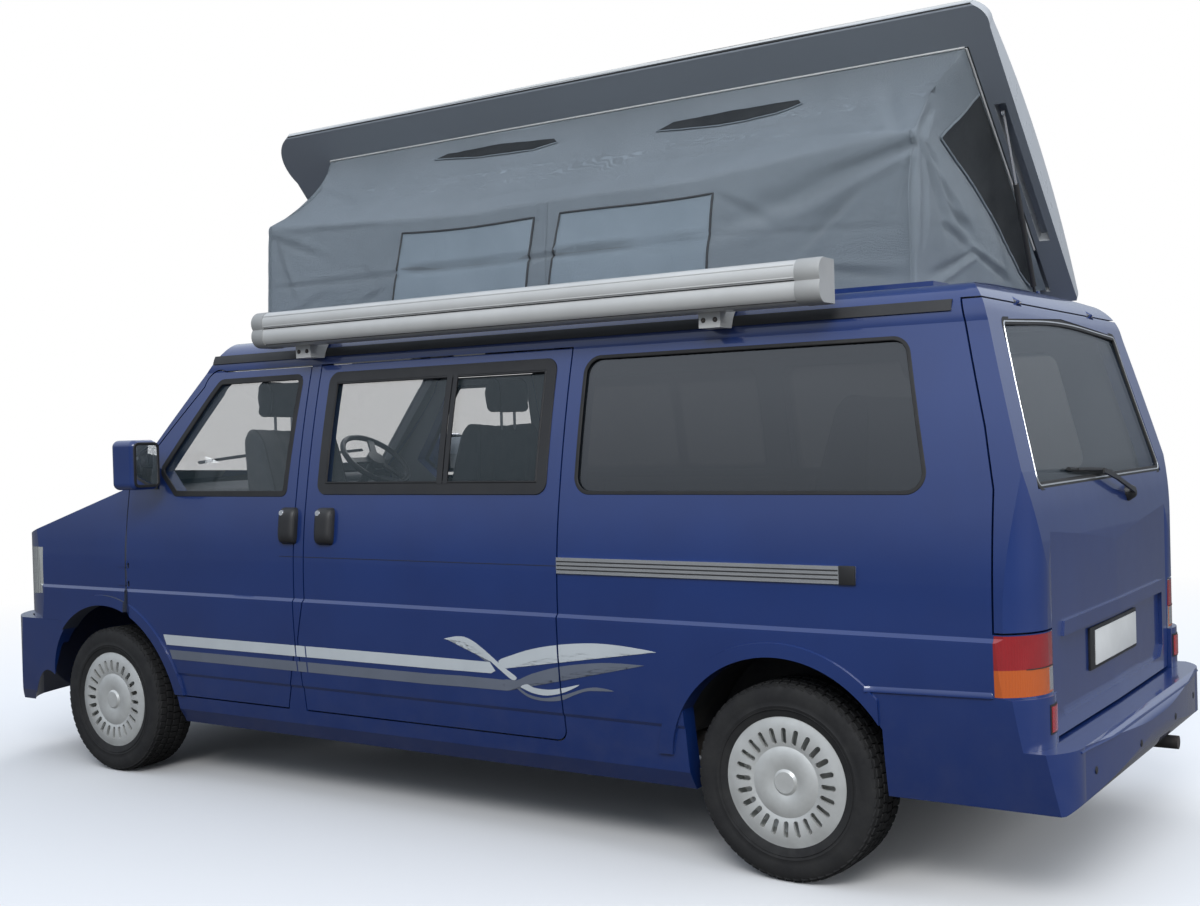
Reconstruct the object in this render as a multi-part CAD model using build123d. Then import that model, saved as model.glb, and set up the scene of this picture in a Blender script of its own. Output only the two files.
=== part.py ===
from build123d import *
import os
from math import cos, sin, tan, radians, degrees, hypot, atan2

# Elevating-roof camper van on a long wheelbase, with its roof raised.
# Frame: +X forward, +Y to the van's left, +Z up. The origin is on the ground, under the middle of its length.
# All sizes are in millimetres.

# Driving dimensions of the whole van
wheelbase = 3320
front_overhang = 924
rear_overhang = 945
track_front = 1589
track_rear = 1554
sill_height = 312
underside_height = 250
floor_top = 500
floor_thickness = 60
waist_height = 1233
crease_height = 818
cant_height = 1750
roof_height = 1893
crease_half_width = 925

# Places along the van: measures of the cab are taken from the front axle, those of the tail from the rear axle
overall_length = wheelbase + front_overhang + rear_overhang
cab = overall_length / 2 - front_overhang
tail = rear_overhang - overall_length / 2

# Walls and gaps
side_wall = 70
nose_wall = 60
screen_wall = 46
door_gap = 6
glass_inset = 9
glass_thickness = 6
glass_gap = 0.3
seat_gap = 0.3
door_clearance = 8

# Wheels
tyre_radius = 320
rim_radius = 209
bead_radius = 192
hub_height = tyre_radius
arch_radius_front = 446
arch_radius_rear = 416
lip_radius_front = 425
lip_radius_rear = 407
flare_width = 56
flare_proud = 9
arch_half_width_rear = 350
tub_wall = 14
tub_inner_front = 490
tub_inner_rear = 560
spindle_radius = 22
wheel_bore_radius = 22.3
kingpin_y = track_front / 2 - 134.5

# Doors
front_door_front = cab - 157
front_door_rear = cab - 1190
door_post = 56
sliding_front = front_door_rear - door_post
sliding_rear = sliding_front - 1235
door_bottom = 372
door_top = 1752
hinge_y = crease_half_width - 8
hinge_x = front_door_front - 5
hinge_pin_radius = 3
hinge_eye_radius = 6
hinge_clearance = 0.3
hinge_notch_radius = 14
hinge_eye_length = 24
front_hinge_heights = (846, 926)
front_door_opening = 65
door_reach = 3

# Elevating roof
roof_hinge_y = -665
roof_hinge_z = 1906
roof_open_angle = 41.4
roof_rear = tail - 526
roof_front = cab - 503
roof_span = 1362
roof_crown = 78
roof_edge = 26
roof_skin = 20
canvas_bead = 1210
canvas_thickness = 8
canvas_wall_y = 605
canvas_base = 1896
canvas_fold_z = 2360

# Awning
awning_rear = tail - 190
awning_front = cab - 1010
awning_height = 138
awning_base = 1830

nodes = {}


def keep(name, *shapes):
    # one node of one or more solids
    nodes[name] = nodes[name] + list(shapes) if name in nodes else list(shapes)


def outline(start, *steps):
    # closed face: a step of two numbers is a line to that point, one of four is an arc through the first pair
    edges = []
    here = start
    for step in steps:
        if hypot(here[0] - step[-2], here[1] - step[-1]) < 0.001:
            continue
        if len(step) == 2:
            edges.append(Line(here, step))
        else:
            edges.append(ThreePointArc(here, step[:2], step[2:]))
        here = step[-2:]
    if hypot(here[0] - start[0], here[1] - start[1]) > 0.001:
        edges.append(Line(here, start))
    return make_face(edges)


def mirrored_outline(start, *steps):
    # closed face symmetric about its second axis, from the half on the positive side
    points = [start]
    for step in steps:
        points.append(step[-2:])
    back = []
    for index in range(len(steps) - 1, -1, -1):
        end = points[index]
        if len(steps[index]) == 2:
            back.append((-end[0], end[1]))
        else:
            back.append((-steps[index][0], steps[index][1], -end[0], end[1]))
    return outline(start, *steps, *back)


def across(face, half_width=1400):
    # face drawn in X and Z, extruded to both sides
    return extrude(Plane.XZ * face, half_width, both=True)


def along(face, x_low, x_high):
    # face drawn in Y and Z, extruded along X
    return extrude(Plane.YZ.offset(x_low) * face, x_high - x_low)


def upward(face, z_low, z_high):
    return extrude(Plane.XY.offset(z_low) * face, z_high - z_low)


def block(x_low, x_high, y_low, y_high, z_low, z_high):
    size = Box(x_high - x_low, y_high - y_low, z_high - z_low)
    return Pos((x_low + x_high) / 2, (y_low + y_high) / 2, (z_low + z_high) / 2) * size


def left_side(face, y_low=300, y_high=1300):
    # face drawn in X and Z, cutting the left wall only
    return extrude(Plane.XZ.offset(-y_low) * face, -(y_high - y_low))


def flip(shape):
    return mirror(shape, Plane.XZ)


def largest(shape):
    return max(shape.solids(), key=lambda solid: solid.volume)


def rod(start, end, radius):
    path = Vector(*end) - Vector(*start)
    return extrude(Plane(origin=start, z_dir=path) * Circle(radius), path.length)


# Body form: a cross-section with tumblehome, a plan with rounded corners, a side silhouette, and
# the crowned planes of the windscreen and the bonnet. The same form, drawn in, makes the inside.
section = mirrored_outline(
    (0, underside_height),
    (828, underside_height),
    (868, sill_height),
    (914, 585, crease_half_width, crease_height),
    (913, 1030, 887, waist_height),
    (840, 1490, 778, cant_height),
    (745, 1838, 648, 1876),
    (330, 1890, 0, roof_height),
)
# The same section as the outer skin has it, with a small ledge over the sill and a wider one along the crease
skin_section = mirrored_outline(
    (0, underside_height),
    (828, underside_height),
    (868, sill_height),
    (883, 394, 892, 462),
    (900, 474),
    (917, 620, crease_half_width + 2, crease_height - 18),
    (crease_half_width + 2, crease_height - 6),
    (crease_half_width - 8, crease_height + 6),
    (912, 1030, 887, waist_height),
    (840, 1490, 778, cant_height),
    (745, 1838, 648, 1876),
    (330, 1890, 0, roof_height),
)
plan = outline(
    (tail - 818, 0),
    (tail - 812, 720),
    (tail - 786, 868, tail - 660, 938),
    (cab + 250, 938),
    (cab + 560, 880, cab + 742, 745),
    (cab + 838, 400, cab + 868, 0),
    (cab + 838, -400, cab + 742, -745),
    (cab + 560, -880, cab + 250, -938),
    (tail - 660, -938),
    (tail - 786, -868, tail - 812, -720),
)


def silhouette(drawn_in):
    # side view of the van, without its windscreen and bonnet, its ends drawn in
    rear = tail + drawn_in
    nose = cab - drawn_in
    return outline(
        (rear - 818, 200),
        (rear - 818, 900),
        (rear - 812, 1120, rear - 782, 1300),
        (rear - 655, 1775),
        (rear - 610, 1856, rear - 500, 1905),
        (rear - 500, 1960),
        (nose + 300, 1960),
        (nose + 455, 1190),
        (nose + 690, 1085, nose + 790, 960),
        (nose + 850, 840, nose + 868, 690),
        (nose + 868, 200),
    )


screen_base = (cab + 95, 1285)
screen_top = (cab - 495, 1870)
screen_crown = 2400
bonnet_rear = (cab - 60, 1338)
bonnet_front = (cab + 455, 1190)
bonnet_crown = 4200


def crowned_slope(low, high, crown, drawn_in):
    # everything below a slope that runs along a line in X and Z and is crowned across
    direction = Vector(high[0] - low[0], 0, high[1] - low[1])
    normal = Vector(-direction.Z, 0, direction.X).normalized()
    if normal.Z < 0:
        normal = normal * -1
    middle = Vector((low[0] + high[0]) / 2, 0, (low[1] + high[1]) / 2)
    centre = middle - normal * crown
    base = Plane(origin=centre - direction.normalized() * 4000, z_dir=direction)
    return extrude(base * Circle(crown - drawn_in), 8000)


def van_form(drawn_in, screen_in):
    # section, plan and silhouette drawn in by one amount, windscreen and bonnet by another
    flat_section = skin_section
    flat_plan = plan
    if drawn_in:
        flat_section = offset(section, -drawn_in, kind=Kind.INTERSECTION)
        flat_plan = offset(plan, -drawn_in, kind=Kind.INTERSECTION)
    form = along(flat_section, -overall_length, overall_length)
    form &= upward(flat_plan, 0, 2200)
    form &= across(silhouette(drawn_in))
    screen = crowned_slope(screen_top, screen_base, screen_crown, screen_in)
    bonnet = crowned_slope(bonnet_rear, bonnet_front, bonnet_crown, screen_in)
    return (form & screen) + (form & bonnet)




def revolved(*steps):
    # profile in radius and width, turned about a wheel's axle along Y
    return revolve(Plane.XY * outline(*steps), Axis.Y)


def flare(x, lip_radius, low):
    # raised lip round a wheel opening, held close to the skin, on both sides
    edge = lip_radius + flare_width
    ring = revolved(
        (lip_radius, 850),
        (lip_radius, 960),
        (edge - 16, 960),
        (edge, 880),
        (edge, 850),
    )
    near_skin = along(offset(section, flare_proud, kind=Kind.ARC), x - 600, x + 600)
    lip = (near_skin & block(x - 600, x + 600, 600, 1000, low, 900)) & (Pos(x, 0, hub_height) * ring)
    return lip, flip(lip)


outer = van_form(0, 0)
for lip in flare(cab, lip_radius_front, door_bottom) + flare(tail, lip_radius_rear, door_bottom):
    outer = outer + lip
inner = van_form(side_wall, screen_wall)
shell = outer - inner - block(tail - 740, cab + 800, -crease_half_width + 135, crease_half_width - 135, 100, 600)

# Wheel arches
arch_front = Pos(cab, 0, hub_height) * Rot(90, 0, 0) * Cylinder(lip_radius_front, 2200)
arch_rear_round = Pos(tail, 0, hub_height) * Rot(90, 0, 0) * Cylinder(lip_radius_rear, 2200)
arch_rear = arch_rear_round & block(tail - arch_half_width_rear, tail + arch_half_width_rear, -1100, 1100, 0, 900)
shell = shell - arch_front - arch_rear


# Tubs over the wheels and the floor between the walls
inner_half = crease_half_width - side_wall


def tub(x, radius, y_inner, wall):
    barrel = Rot(90, 0, 0) * Cylinder(radius + wall, 2 * inner_half)
    middle = block(-radius - 90, radius + 90, -y_inner + wall, y_inner - wall, -radius - 90, radius + 90)
    return Pos(x, 0, hub_height) * (barrel - middle)


floor_plate = block(tail - 760, cab + 60, -inner_half, inner_half, floor_top - floor_thickness, floor_top)
floor_tubs = tub(cab, arch_radius_front, tub_inner_front, tub_wall) + tub(tail, arch_radius_rear, tub_inner_rear, tub_wall)
floor_space = tub(cab, arch_radius_front, tub_inner_front, 0) + tub(tail, arch_radius_rear, tub_inner_rear, 0)
floor_pan = ((floor_plate + floor_tubs) & inner) - floor_space
tub_base = floor_top - floor_thickness - 20
floor_pan = floor_pan & block(tail - 760, cab + 60, -inner_half, inner_half, tub_base, 1000)
door_side = block(front_door_rear - door_gap, front_door_front + 4, -inner_half, inner_half, 0, 1000)
cabin_form = van_form(side_wall + door_clearance, screen_wall + door_clearance)
floor_pan = floor_pan - (door_side - cabin_form)

# Outlines of doors and windows, in X and Z, or in Y and Z on the tail
front_door = outline(
    (front_door_front + 2, 1215),
    (front_door_front + 4, 1285),
    (cab - 560, 1692),
    (cab - 600, door_top - 4, cab - 680, door_top),
    (front_door_rear, door_top),
    (front_door_rear, 640),
    (front_door_rear + 86, door_bottom),
    (cab - 320, door_bottom),
    (cab - 135, 640),
    (front_door_front, crease_height),
)
front_window = outline(
    (cab - 463, waist_height + 4),
    (cab - 352, 1336),
    (cab - 610, 1655),
    (cab - 650, 1702, cab - 700, 1712),
    (front_door_rear + 46, 1712),
    (front_door_rear + 66, waist_height + 4),
)
sliding_door = outline(
    (sliding_front, door_top),
    (sliding_front, crease_height),
    (sliding_front + 40, 660),
    (sliding_front + 40, door_bottom),
    (sliding_rear + 40, door_bottom),
    (sliding_rear + 12, door_bottom + 12, sliding_rear, door_bottom + 40),
    (sliding_rear, door_top),
)
middle_window = outline(
    (sliding_front - 62, waist_height + 6),
    (sliding_front - 62, 1716),
    (sliding_rear + 62, 1716),
    (sliding_rear + 62, waist_height + 6),
)
quarter_window = outline(
    (sliding_rear - 62, waist_height + 6),
    (sliding_rear - 62, 1716),
    (tail - 414, 1716),
    (tail - 506, waist_height + 6),
)
middle_window = fillet(middle_window.vertices(), 42)
quarter_window = fillet(quarter_window.vertices(), 62)
tailgate_outline = mirrored_outline(
    (0, 506),
    (722, 506),
    (738, 838),
    (1000, 838),
    (1000, 1300),
    (1000, 1822),
    (0, 1822),
)
tailgate_window = mirrored_outline(
    (0, waist_height + 14),
    (762, waist_height + 14),
    (650, 1760),
    (0, 1792),
)
screen_window = mirrored_outline(
    (0, 1312),
    (752, 1338),
    (690, 1700),
    (655, 1780, 590, 1806),
    (300, 1820, 0, 1824),
)
lamp_outline = outline(
    (612, 712),
    (1000, 800),
    (1000, 1000),
    (640, 976),
    (566, 840),
)
grille_outline = mirrored_outline(
    (0, 716),
    (548, 716),
    (508, 880),
    (0, 905),
)
bonnet_outline = mirrored_outline(
    (0, cab + 176),
    (330, cab + 150),
    (668, cab + 88),
    (668, cab + 900),
    (0, cab + 900),
)
bonnet_front_outline = mirrored_outline(
    (0, 936),
    (552, 936),
    (600, 988),
    (700, 988),
    (700, 1400),
    (0, 1400),
)
tailgate_zone = outline(
    (tail - 1200, 400),
    (tail - 1200, 1900),
    (tail - 555, 1900),
    (tail - 669, 1435),
    (tail - 701, 1252),
    (tail - 701, 400),
)


def both_sides(face):
    cut = left_side(face)
    return cut + flip(cut)


def grown(face, amount):
    return offset(face, amount, kind=Kind.ARC)


half_gap = door_gap / 2
tail_reach = -overall_length
tailgate_space = along(grown(tailgate_outline, half_gap), tail_reach, tail) & across(grown(tailgate_zone, half_gap))
plan_frame = Plane(origin=(0, 0, 0), x_dir=(0, 1, 0), z_dir=(0, 0, -1))


def bonnet_zone(growth):
    in_plan = extrude(plan_frame * grown(bonnet_outline, growth), 2000, both=True)
    return in_plan & along(grown(bonnet_front_outline, growth), cab, cab + 900)


bonnet_space = bonnet_zone(half_gap)
lamp_space = along(lamp_outline, cab + 440, cab + 900)
lamp_space = lamp_space + flip(lamp_space)
grille_space = along(grille_outline, cab + 700, cab + 900)
bumper_top = 664
bumper_front_space = block(cab + 300, cab + 900, -1000, 1000, 0, bumper_top)
bumper_rear_space = block(tail - 900, tail - 342, -1000, 1000, 0, 650)

# Doors, tailgate and bonnet out of the shell
skin_form = van_form(24, 24)
door_left = (shell & left_side(grown(front_door, -half_gap))) - left_side(front_window)
door_right = flip(door_left)
door_slide = (shell & left_side(grown(sliding_door, -half_gap))) - left_side(middle_window)
tailgate_trim = grown(tailgate_outline, -half_gap)
tailgate = shell & along(tailgate_trim, tail_reach, tail) & across(grown(tailgate_zone, -half_gap))
tailgate = tailgate - along(tailgate_window, tail_reach, tail)
recess_depth = 14
recess_outline = mirrored_outline((0, 560), (610, 560), (650, 600), (650, 800), (0, 800))
tailgate = tailgate - (along(recess_outline, tail_reach, tail) - van_form(recess_depth, recess_depth))
moulding = along(mirrored_outline((0, 802), (640, 802), (628, 846), (0, 846)), tail_reach, tail)
tailgate = tailgate + ((Pos(-10, 0, 0) * outer - skin_form) & moulding & block(tail - 900, tail - 760, -700, 700, 700, 900))
bonnet = largest((outer - skin_form) & bonnet_zone(-half_gap))

# What is left of the shell after the openings
frame = shell - both_sides(grown(front_door, half_gap)) - left_side(grown(sliding_door, half_gap))
frame = frame - both_sides(quarter_window) - flip(left_side(middle_window))
frame = frame - tailgate_space
frame = frame - along(screen_window, cab - 900, cab + 300)
frame = frame - bonnet_space - lamp_space - grille_space - bumper_front_space - bumper_rear_space
print("frame", frame.is_valid, [round(solid.volume / 1e6) for solid in frame.solids()])


# Front door hinges: an eye on the wing, a notch in the door's edge and a pin across the notch
def hinge_parts(side):
    eyes = []
    pins = []
    notches = []
    for height in front_hinge_heights:
        at = Pos(hinge_x, side * hinge_y, height)
        arm = block(hinge_x, hinge_x + 60, hinge_y - 4, hinge_y + 4, height - 7, height + 7)
        arm = arm if side > 0 else flip(arm)
        eye = at * Cylinder(hinge_eye_radius, 14) + arm
        eyes.append(eye - at * Cylinder(hinge_pin_radius + hinge_clearance, 20))
        pins.append(at * Cylinder(hinge_pin_radius, hinge_eye_length + 20))
        notches.append(at * Cylinder(hinge_notch_radius, hinge_eye_length))
    return eyes, pins, notches


def hang_door(door, side):
    pins, notches = hinge_parts(side)[1:]
    for notch in notches:
        door = door - notch
    for pin in pins:
        door = door + pin
    relief = door_relief if side > 0 else flip(door_relief)
    return largest(door - relief)


# What of the door stands further out than its hinge would turn into the wing, so its edge is bevelled there
door_relief = Pos(hinge_x, hinge_y, 1000) * Rot(0, 0, front_door_opening) * Pos(door_reach + 100, 0, 0) * Box(200, 400, 1200)
swing = Pos(hinge_x, hinge_y, 1000) * Cylinder(hinge_notch_radius, 400)
frame = frame - swing - flip(swing)
for side in (1, -1):
    for eye in hinge_parts(side)[0]:
        frame = frame + eye
keep("front_door_left", hang_door(door_left, 1))
keep("front_door_right", hang_door(door_right, -1))
keep("sliding_door", largest(door_slide))



def cross_pin(x, z, places, eye_arm, lug_arm, moving, fixed):
    # hinges about an axis along Y: on the fixed piece an eye on an arm, on the moving piece a pin between two lugs
    for place in places:
        at = Pos(x, place, z) * Rot(90, 0, 0)
        notch = at * Cylinder(hinge_notch_radius, 52)
        moving = moving - notch
        fixed = fixed - notch
        eye = at * Cylinder(hinge_eye_radius, 16)
        eye = eye + rod((x, place, z), (x + eye_arm[0], place, z + eye_arm[1]), 5)
        fixed = fixed + (eye - at * Cylinder(hinge_pin_radius + hinge_clearance, 60))
        moving = moving + at * Cylinder(hinge_pin_radius, 36)
        for shift in (-16, 16):
            start = (x, place + shift, z)
            moving = moving + rod(start, (x + lug_arm[0], place + shift, z + lug_arm[1]), 5)
    return largest(moving), largest(fixed)


gate_hinge_x = tail - 640
gate_hinge_z = 1826
tailgate, frame = cross_pin(gate_hinge_x, gate_hinge_z, (-420, 420), (30, 20), (18, -26), tailgate, frame)
bonnet_hinge_x = cab + 100
bonnet_hinge_z = 1246
bonnet, frame = cross_pin(bonnet_hinge_x, bonnet_hinge_z, (-600, 600), (-30, -6), (30, -14), bonnet, frame)
keep("tailgate", tailgate)
keep("bonnet", bonnet)
keep("floor_pan", *floor_pan.solids())

# The frame splits where the roof, the sides and the front end meet
front_split = front_door_front + 4
roof_space = block(-3000, 3000, -1000, 1000, 1800, 2000)
front_space = block(front_split, 3000, -1000, 1000, 0, 1288)
roof_panel = frame & roof_space
frame = frame - roof_space
keep("front_end", *(frame & front_space).solids())
frame = frame - front_space
keep("side_left", largest(frame & block(-3000, 3000, 0, 1000, 0, 2000)))
keep("side_right", largest(frame & block(-3000, 3000, -1000, 0, 0, 2000)))
roof_opening = block(roof_rear + 150, roof_front - 330, -560, 560, 1700, 2000)
curb = block(roof_rear + 90, roof_front - 270, -615, 620, 1840, canvas_base - 0.5)
roof_panel = largest((roof_panel + (curb - inner)) - roof_opening)


# Glass: a thin layer of the same form, cut to each opening
glass_layer = van_form(glass_inset, glass_inset) - van_form(glass_inset + glass_thickness, glass_inset + glass_thickness)


def glass(cutter):
    return largest(glass_layer & cutter)


def smaller(face):
    return grown(face, -glass_gap)


keep("windscreen", glass(along(smaller(screen_window), cab - 900, cab + 300)))
front_glass = glass(left_side(smaller(front_window)))
keep("door_glass_left", front_glass)
keep("door_glass_right", flip(front_glass))
middle_glass = glass(left_side(smaller(middle_window)))
keep("sliding_door_glass", middle_glass)
quarter_glass = glass(left_side(smaller(quarter_window)))
keep("side_glass", quarter_glass, flip(quarter_glass), flip(middle_glass))
keep("tailgate_glass", glass(along(smaller(tailgate_window), tail_reach, tail)))

# Headlamps, grille, tail lamps
lamp_layer = outer - van_form(nose_wall - 10, nose_wall - 10)
headlamp = largest(lamp_layer & along(smaller(lamp_outline), cab + 440, cab + 900))
keep("headlamps", headlamp, flip(headlamp))
grille = largest(lamp_layer & along(smaller(grille_outline), cab + 700, cab + 900))
grille_slats = 3
slat_pitch = 46
for index in range(grille_slats):
    slot_z = 740 + index * slat_pitch
    slot_half = 490 - index * 12
    grille = grille - block(cab + 700, cab + 900, -slot_half, slot_half, slot_z, slot_z + 30)
keep("grille", *grille.solids())
tail_lamp_outline = outline((736, 655), (1000, 655), (1000, 832), (736, 832))
lamp_pocket = along(tail_lamp_outline, tail_reach, tail - 702)
tail_lamp = largest((outer - skin_form) & along(smaller(tail_lamp_outline), tail_reach, tail - 702 - glass_gap))
keep("tail_lamps", tail_lamp, flip(tail_lamp))
tail_pocket = (outer - skin_form) & lamp_pocket
for side, pocket in (("side_left", tail_pocket), ("side_right", flip(tail_pocket))):
    nodes[side] = [largest(nodes[side][0] - pocket)]

# Bumpers
bumper_wall = 55
bumper_plan = mirrored_outline(
    (0, cab + 300),
    (938, cab + 300),
    (938, cab + 390),
    (872, cab + 690, 740, cab + 802),
    (400, cab + 896, 0, cab + front_overhang),
)
bumper_profile = outline(
    (cab + 250, 262),
    (cab + 880, 262),
    (cab + 922, 340, cab + front_overhang, 480),
    (cab + 918, 590, cab + 880, bumper_top - seat_gap),
    (cab + 250, bumper_top - seat_gap),
)
section_form = along(section, -overall_length, overall_length)
bumper_body = extrude(plan_frame * bumper_plan, 900, both=True) & across(bumper_profile) & section_form
bumper_inside = extrude(plan_frame * offset(bumper_plan, -bumper_wall, kind=Kind.ARC), 900, both=True)
bumper_inside = bumper_inside + block(cab + 200, cab + 420, -crease_half_width + side_wall, crease_half_width - side_wall, 0, 900)
front_bumper = (bumper_body - bumper_inside) & block(cab + 300 + seat_gap, cab + 1000, -1000, 1000, 0, 900)
front_bumper = front_bumper - arch_front - block(cab, cab + 356, -1000, 1000, 0, 420)
keep("front_bumper", largest(front_bumper))
rear_plan = mirrored_outline(
    (0, tail - 342),
    (938, tail - 342),
    (938, tail - 640),
    (905, tail - 838, 740, tail - 905),
    (380, tail - 936, 0, tail - rear_overhang),
)
ear_plan = mirrored_outline(
    (0, tail - 342),
    (938, tail - 342),
    (938, tail - 650),
    (878, tail - 800, 744, tail - 826),
    (0, tail - 830),
)
step_top = 500
rear_profile = outline(
    (tail - 342, 319),
    (tail - 880, 319),
    (tail - 930, 372, tail - rear_overhang, 430),
    (tail - 940, 476, tail - 905, step_top - seat_gap),
    (tail - 342, step_top - seat_gap),
)
rear_body = extrude(plan_frame * rear_plan, 900, both=True) & across(rear_profile) & section_form
rear_ears = extrude(plan_frame * ear_plan, 900, both=True) & block(tail - 850, tail - 342, -1000, 1000, 400, 650 - seat_gap)
rear_ears = (rear_ears - block(tail - 900, tail - 300, -728, 728, 400, 700)) & section_form
rear_inside = block(tail - 760, tail - 300, -inner_half, inner_half, 0, 900)
rear_bumper = (rear_body + rear_ears) - rear_inside - arch_rear
keep("rear_bumper", largest(rear_bumper))

# Wheels: a tyre, and a rim with its slotted cover
tyre = revolved(
    (rim_radius - 17 + seat_gap, -78),
    (rim_radius + 1, -82),
    (232, -96),
    (272, -104, 306, -96),
    (319, -88, tyre_radius - 1.5, -74),
    (tyre_radius, 0, tyre_radius - 1.5, 74),
    (319, 88, 306, 96),
    (272, 104, 232, 96),
    (rim_radius + 1, 82),
    (rim_radius - 17 + seat_gap, 78),
)
rim = revolved(
    (wheel_bore_radius, -32),
    (62, -32),
    (72, 0),
    (150, 14),
    (176, -8),
    (176, -89),
    (rim_radius, -89),
    (rim_radius, -82.5),
    (bead_radius, -79),
    (bead_radius, 79),
    (rim_radius, 82.5),
    (rim_radius, 89),
    (182, 89),
    (176, 40),
    (150, 30),
    (72, 18),
    (wheel_bore_radius, 18),
)
cover_slots = 24
slot_width = 17


def wheel_cover(dome):
    # pressed cover: a domed hub, a crease and an outer ring with slots
    plate = revolved(
        (0.01, dome),
        (34, dome),
        (42, dome - 7),
        (84, dome - 2, 114, dome - 9),
        (160, dome - 1, 198, dome - 6),
        (206, 90),
        (206, 88),
        (184, 88),
        (178, dome - 12),
        (114, dome - 15),
        (60, dome - 13),
        (0.01, dome - 12),
    )
    slot = Rot(90, 0, 0) * Pos(150, 0, 0) * extrude(SlotOverall(52, slot_width), 200, both=True)
    for index in range(cover_slots):
        plate = plate - Rot(0, index * 360 / cover_slots, 0) * slot
    return plate


wheel_places = (
    ("front_left", cab, track_front / 2, 1),
    ("front_right", cab, -track_front / 2, -1),
    ("rear_left", tail, track_rear / 2, 1),
    ("rear_right", tail, -track_rear / 2, -1),
)
cover = wheel_cover(98)
hub_cap = largest(rim + cover)
for name, x, y, side in wheel_places:
    at = Pos(x, y, hub_height)
    wheel = hub_cap if side > 0 else flip(hub_cap)
    keep(f"wheel_{name}", at * wheel)
    keep(f"tyre_{name}", at * tyre)

# Front suspension: cross member, arms and struts, and the steered knuckles
kingpin_radius = 10
knuckle_low = 214
knuckle_high = 452
arm_top = 206
strut_radius = 24
tub_roof_front = hub_height + arch_radius_front


def knuckle(side):
    post = block(cab - 26, cab + 26, kingpin_y - 22, kingpin_y + 22, knuckle_low, knuckle_high)
    spindle = Pos(cab, (kingpin_y + track_front / 2 + 16) / 2, hub_height) * Rot(90, 0, 0)
    spindle = spindle * Cylinder(spindle_radius, track_front / 2 + 16 - kingpin_y)
    collar = Pos(cab, (kingpin_y + 734) / 2, hub_height) * Rot(90, 0, 0) * Cylinder(48, 734 - kingpin_y)
    steering_arm = block(cab - 120, cab - 20, kingpin_y - 18, kingpin_y + 4, 262, 284)
    whole = post + collar + spindle + steering_arm
    for low, high in ((knuckle_low - 1, knuckle_low + 36), (knuckle_high - 36, knuckle_high + 1)):
        bore = Pos(cab, kingpin_y, (low + high) / 2) * Cylinder(kingpin_radius + hinge_clearance, high - low)
        whole = whole - bore
    return whole if side > 0 else flip(whole)


keep("knuckle_left", knuckle(1))
keep("knuckle_right", knuckle(-1))
arm_outline = outline(
    (cab - 190, 330),
    (cab - 34, kingpin_y - 30),
    (cab, kingpin_y + 34, cab + 34, kingpin_y - 30),
    (cab + 190, 330),
)
lower_arm = upward(arm_outline, arm_top - 26, arm_top)
lower_arm = lower_arm + Pos(cab, kingpin_y, arm_top + 20) * Cylinder(kingpin_radius, 42)
strut = Pos(cab, kingpin_y, (knuckle_high + 8 + tub_roof_front - 1) / 2)
strut = strut * Cylinder(strut_radius, tub_roof_front - 1 - knuckle_high - 8)
strut = strut + Pos(cab, kingpin_y, knuckle_high - 6) * Cylinder(kingpin_radius, 52)
cross_member = block(cab - 200, cab + 200, -340, 340, arm_top - 26, arm_top + 74)
cross_member = cross_member - block(cab - 110, cab + 110, -250, 250, 0, 400)
posts = block(cab - 190, cab - 140, 280, 330, arm_top, floor_top - floor_thickness)
cross_member = cross_member + posts + flip(posts)
keep("front_suspension", cross_member + lower_arm + flip(lower_arm), strut, flip(strut))

# Rear axle: cross tube, trailing arms, hubs and dampers
rear_pivot_x = tail + 430
trailing = outline(
    (rear_pivot_x + 40, 320),
    (rear_pivot_x + 40, 408),
    (rear_pivot_x - 60, 400),
    (tail - 60, 360),
    (tail - 60, 270),
    (tail + 120, 262),
)
arm = extrude(Plane.XZ.offset(-(tub_inner_rear + 8)) * trailing, -76)
hub = Pos(tail, (600 + track_rear / 2 + 16) / 2, hub_height) * Rot(90, 0, 0)
hub = hub * Cylinder(spindle_radius, track_rear / 2 + 16 - 600)
collar = Pos(tail, 670, hub_height) * Rot(90, 0, 0) * Cylinder(48, 100)
tube = Pos(rear_pivot_x, 0, 366) * Rot(90, 0, 0) * Cylinder(36, 1180)
hangers = block(rear_pivot_x - 30, rear_pivot_x + 30, 360, 420, 366, floor_top - floor_thickness)
damper = rod((tail - 40, 590, 340), (tail - 90, 590, 700), 24)
rear_axle = arm + hub + collar
keep("rear_axle", rear_axle + flip(rear_axle) + tube + hangers + flip(hangers))

# Engine, exhaust, tank
keep("engine_block", block(cab + 130, cab + 560, -300, 300, 330, 900))
engine_feet = block(cab + 130, cab + 200, -300, 300, arm_top + 74, 330)
nodes["engine_block"] = [nodes["engine_block"][0] + engine_feet]
tank = block(tail + 700, tail + 1350, -420, 120, 250, floor_top - floor_thickness)
tank = fillet(tank.edges().filter_by(Axis.Y), 40)
keep("fuel_tank", tank)
silencer_length = 380
silencer_radius = 82
silencer_z = floor_top - floor_thickness - silencer_radius - seat_gap
silencer = Pos(tail - 530, -420, silencer_z) * Rot(0, 90, 0) * Cylinder(silencer_radius, silencer_length)
pipe = rod((tail - 650, -420, 340), (tail - 730, -420, 286), 24) + rod((tail - 730, -420, 286), (tail - 912, -420, 286), 24)
keep("exhaust", silencer + pipe)

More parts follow.
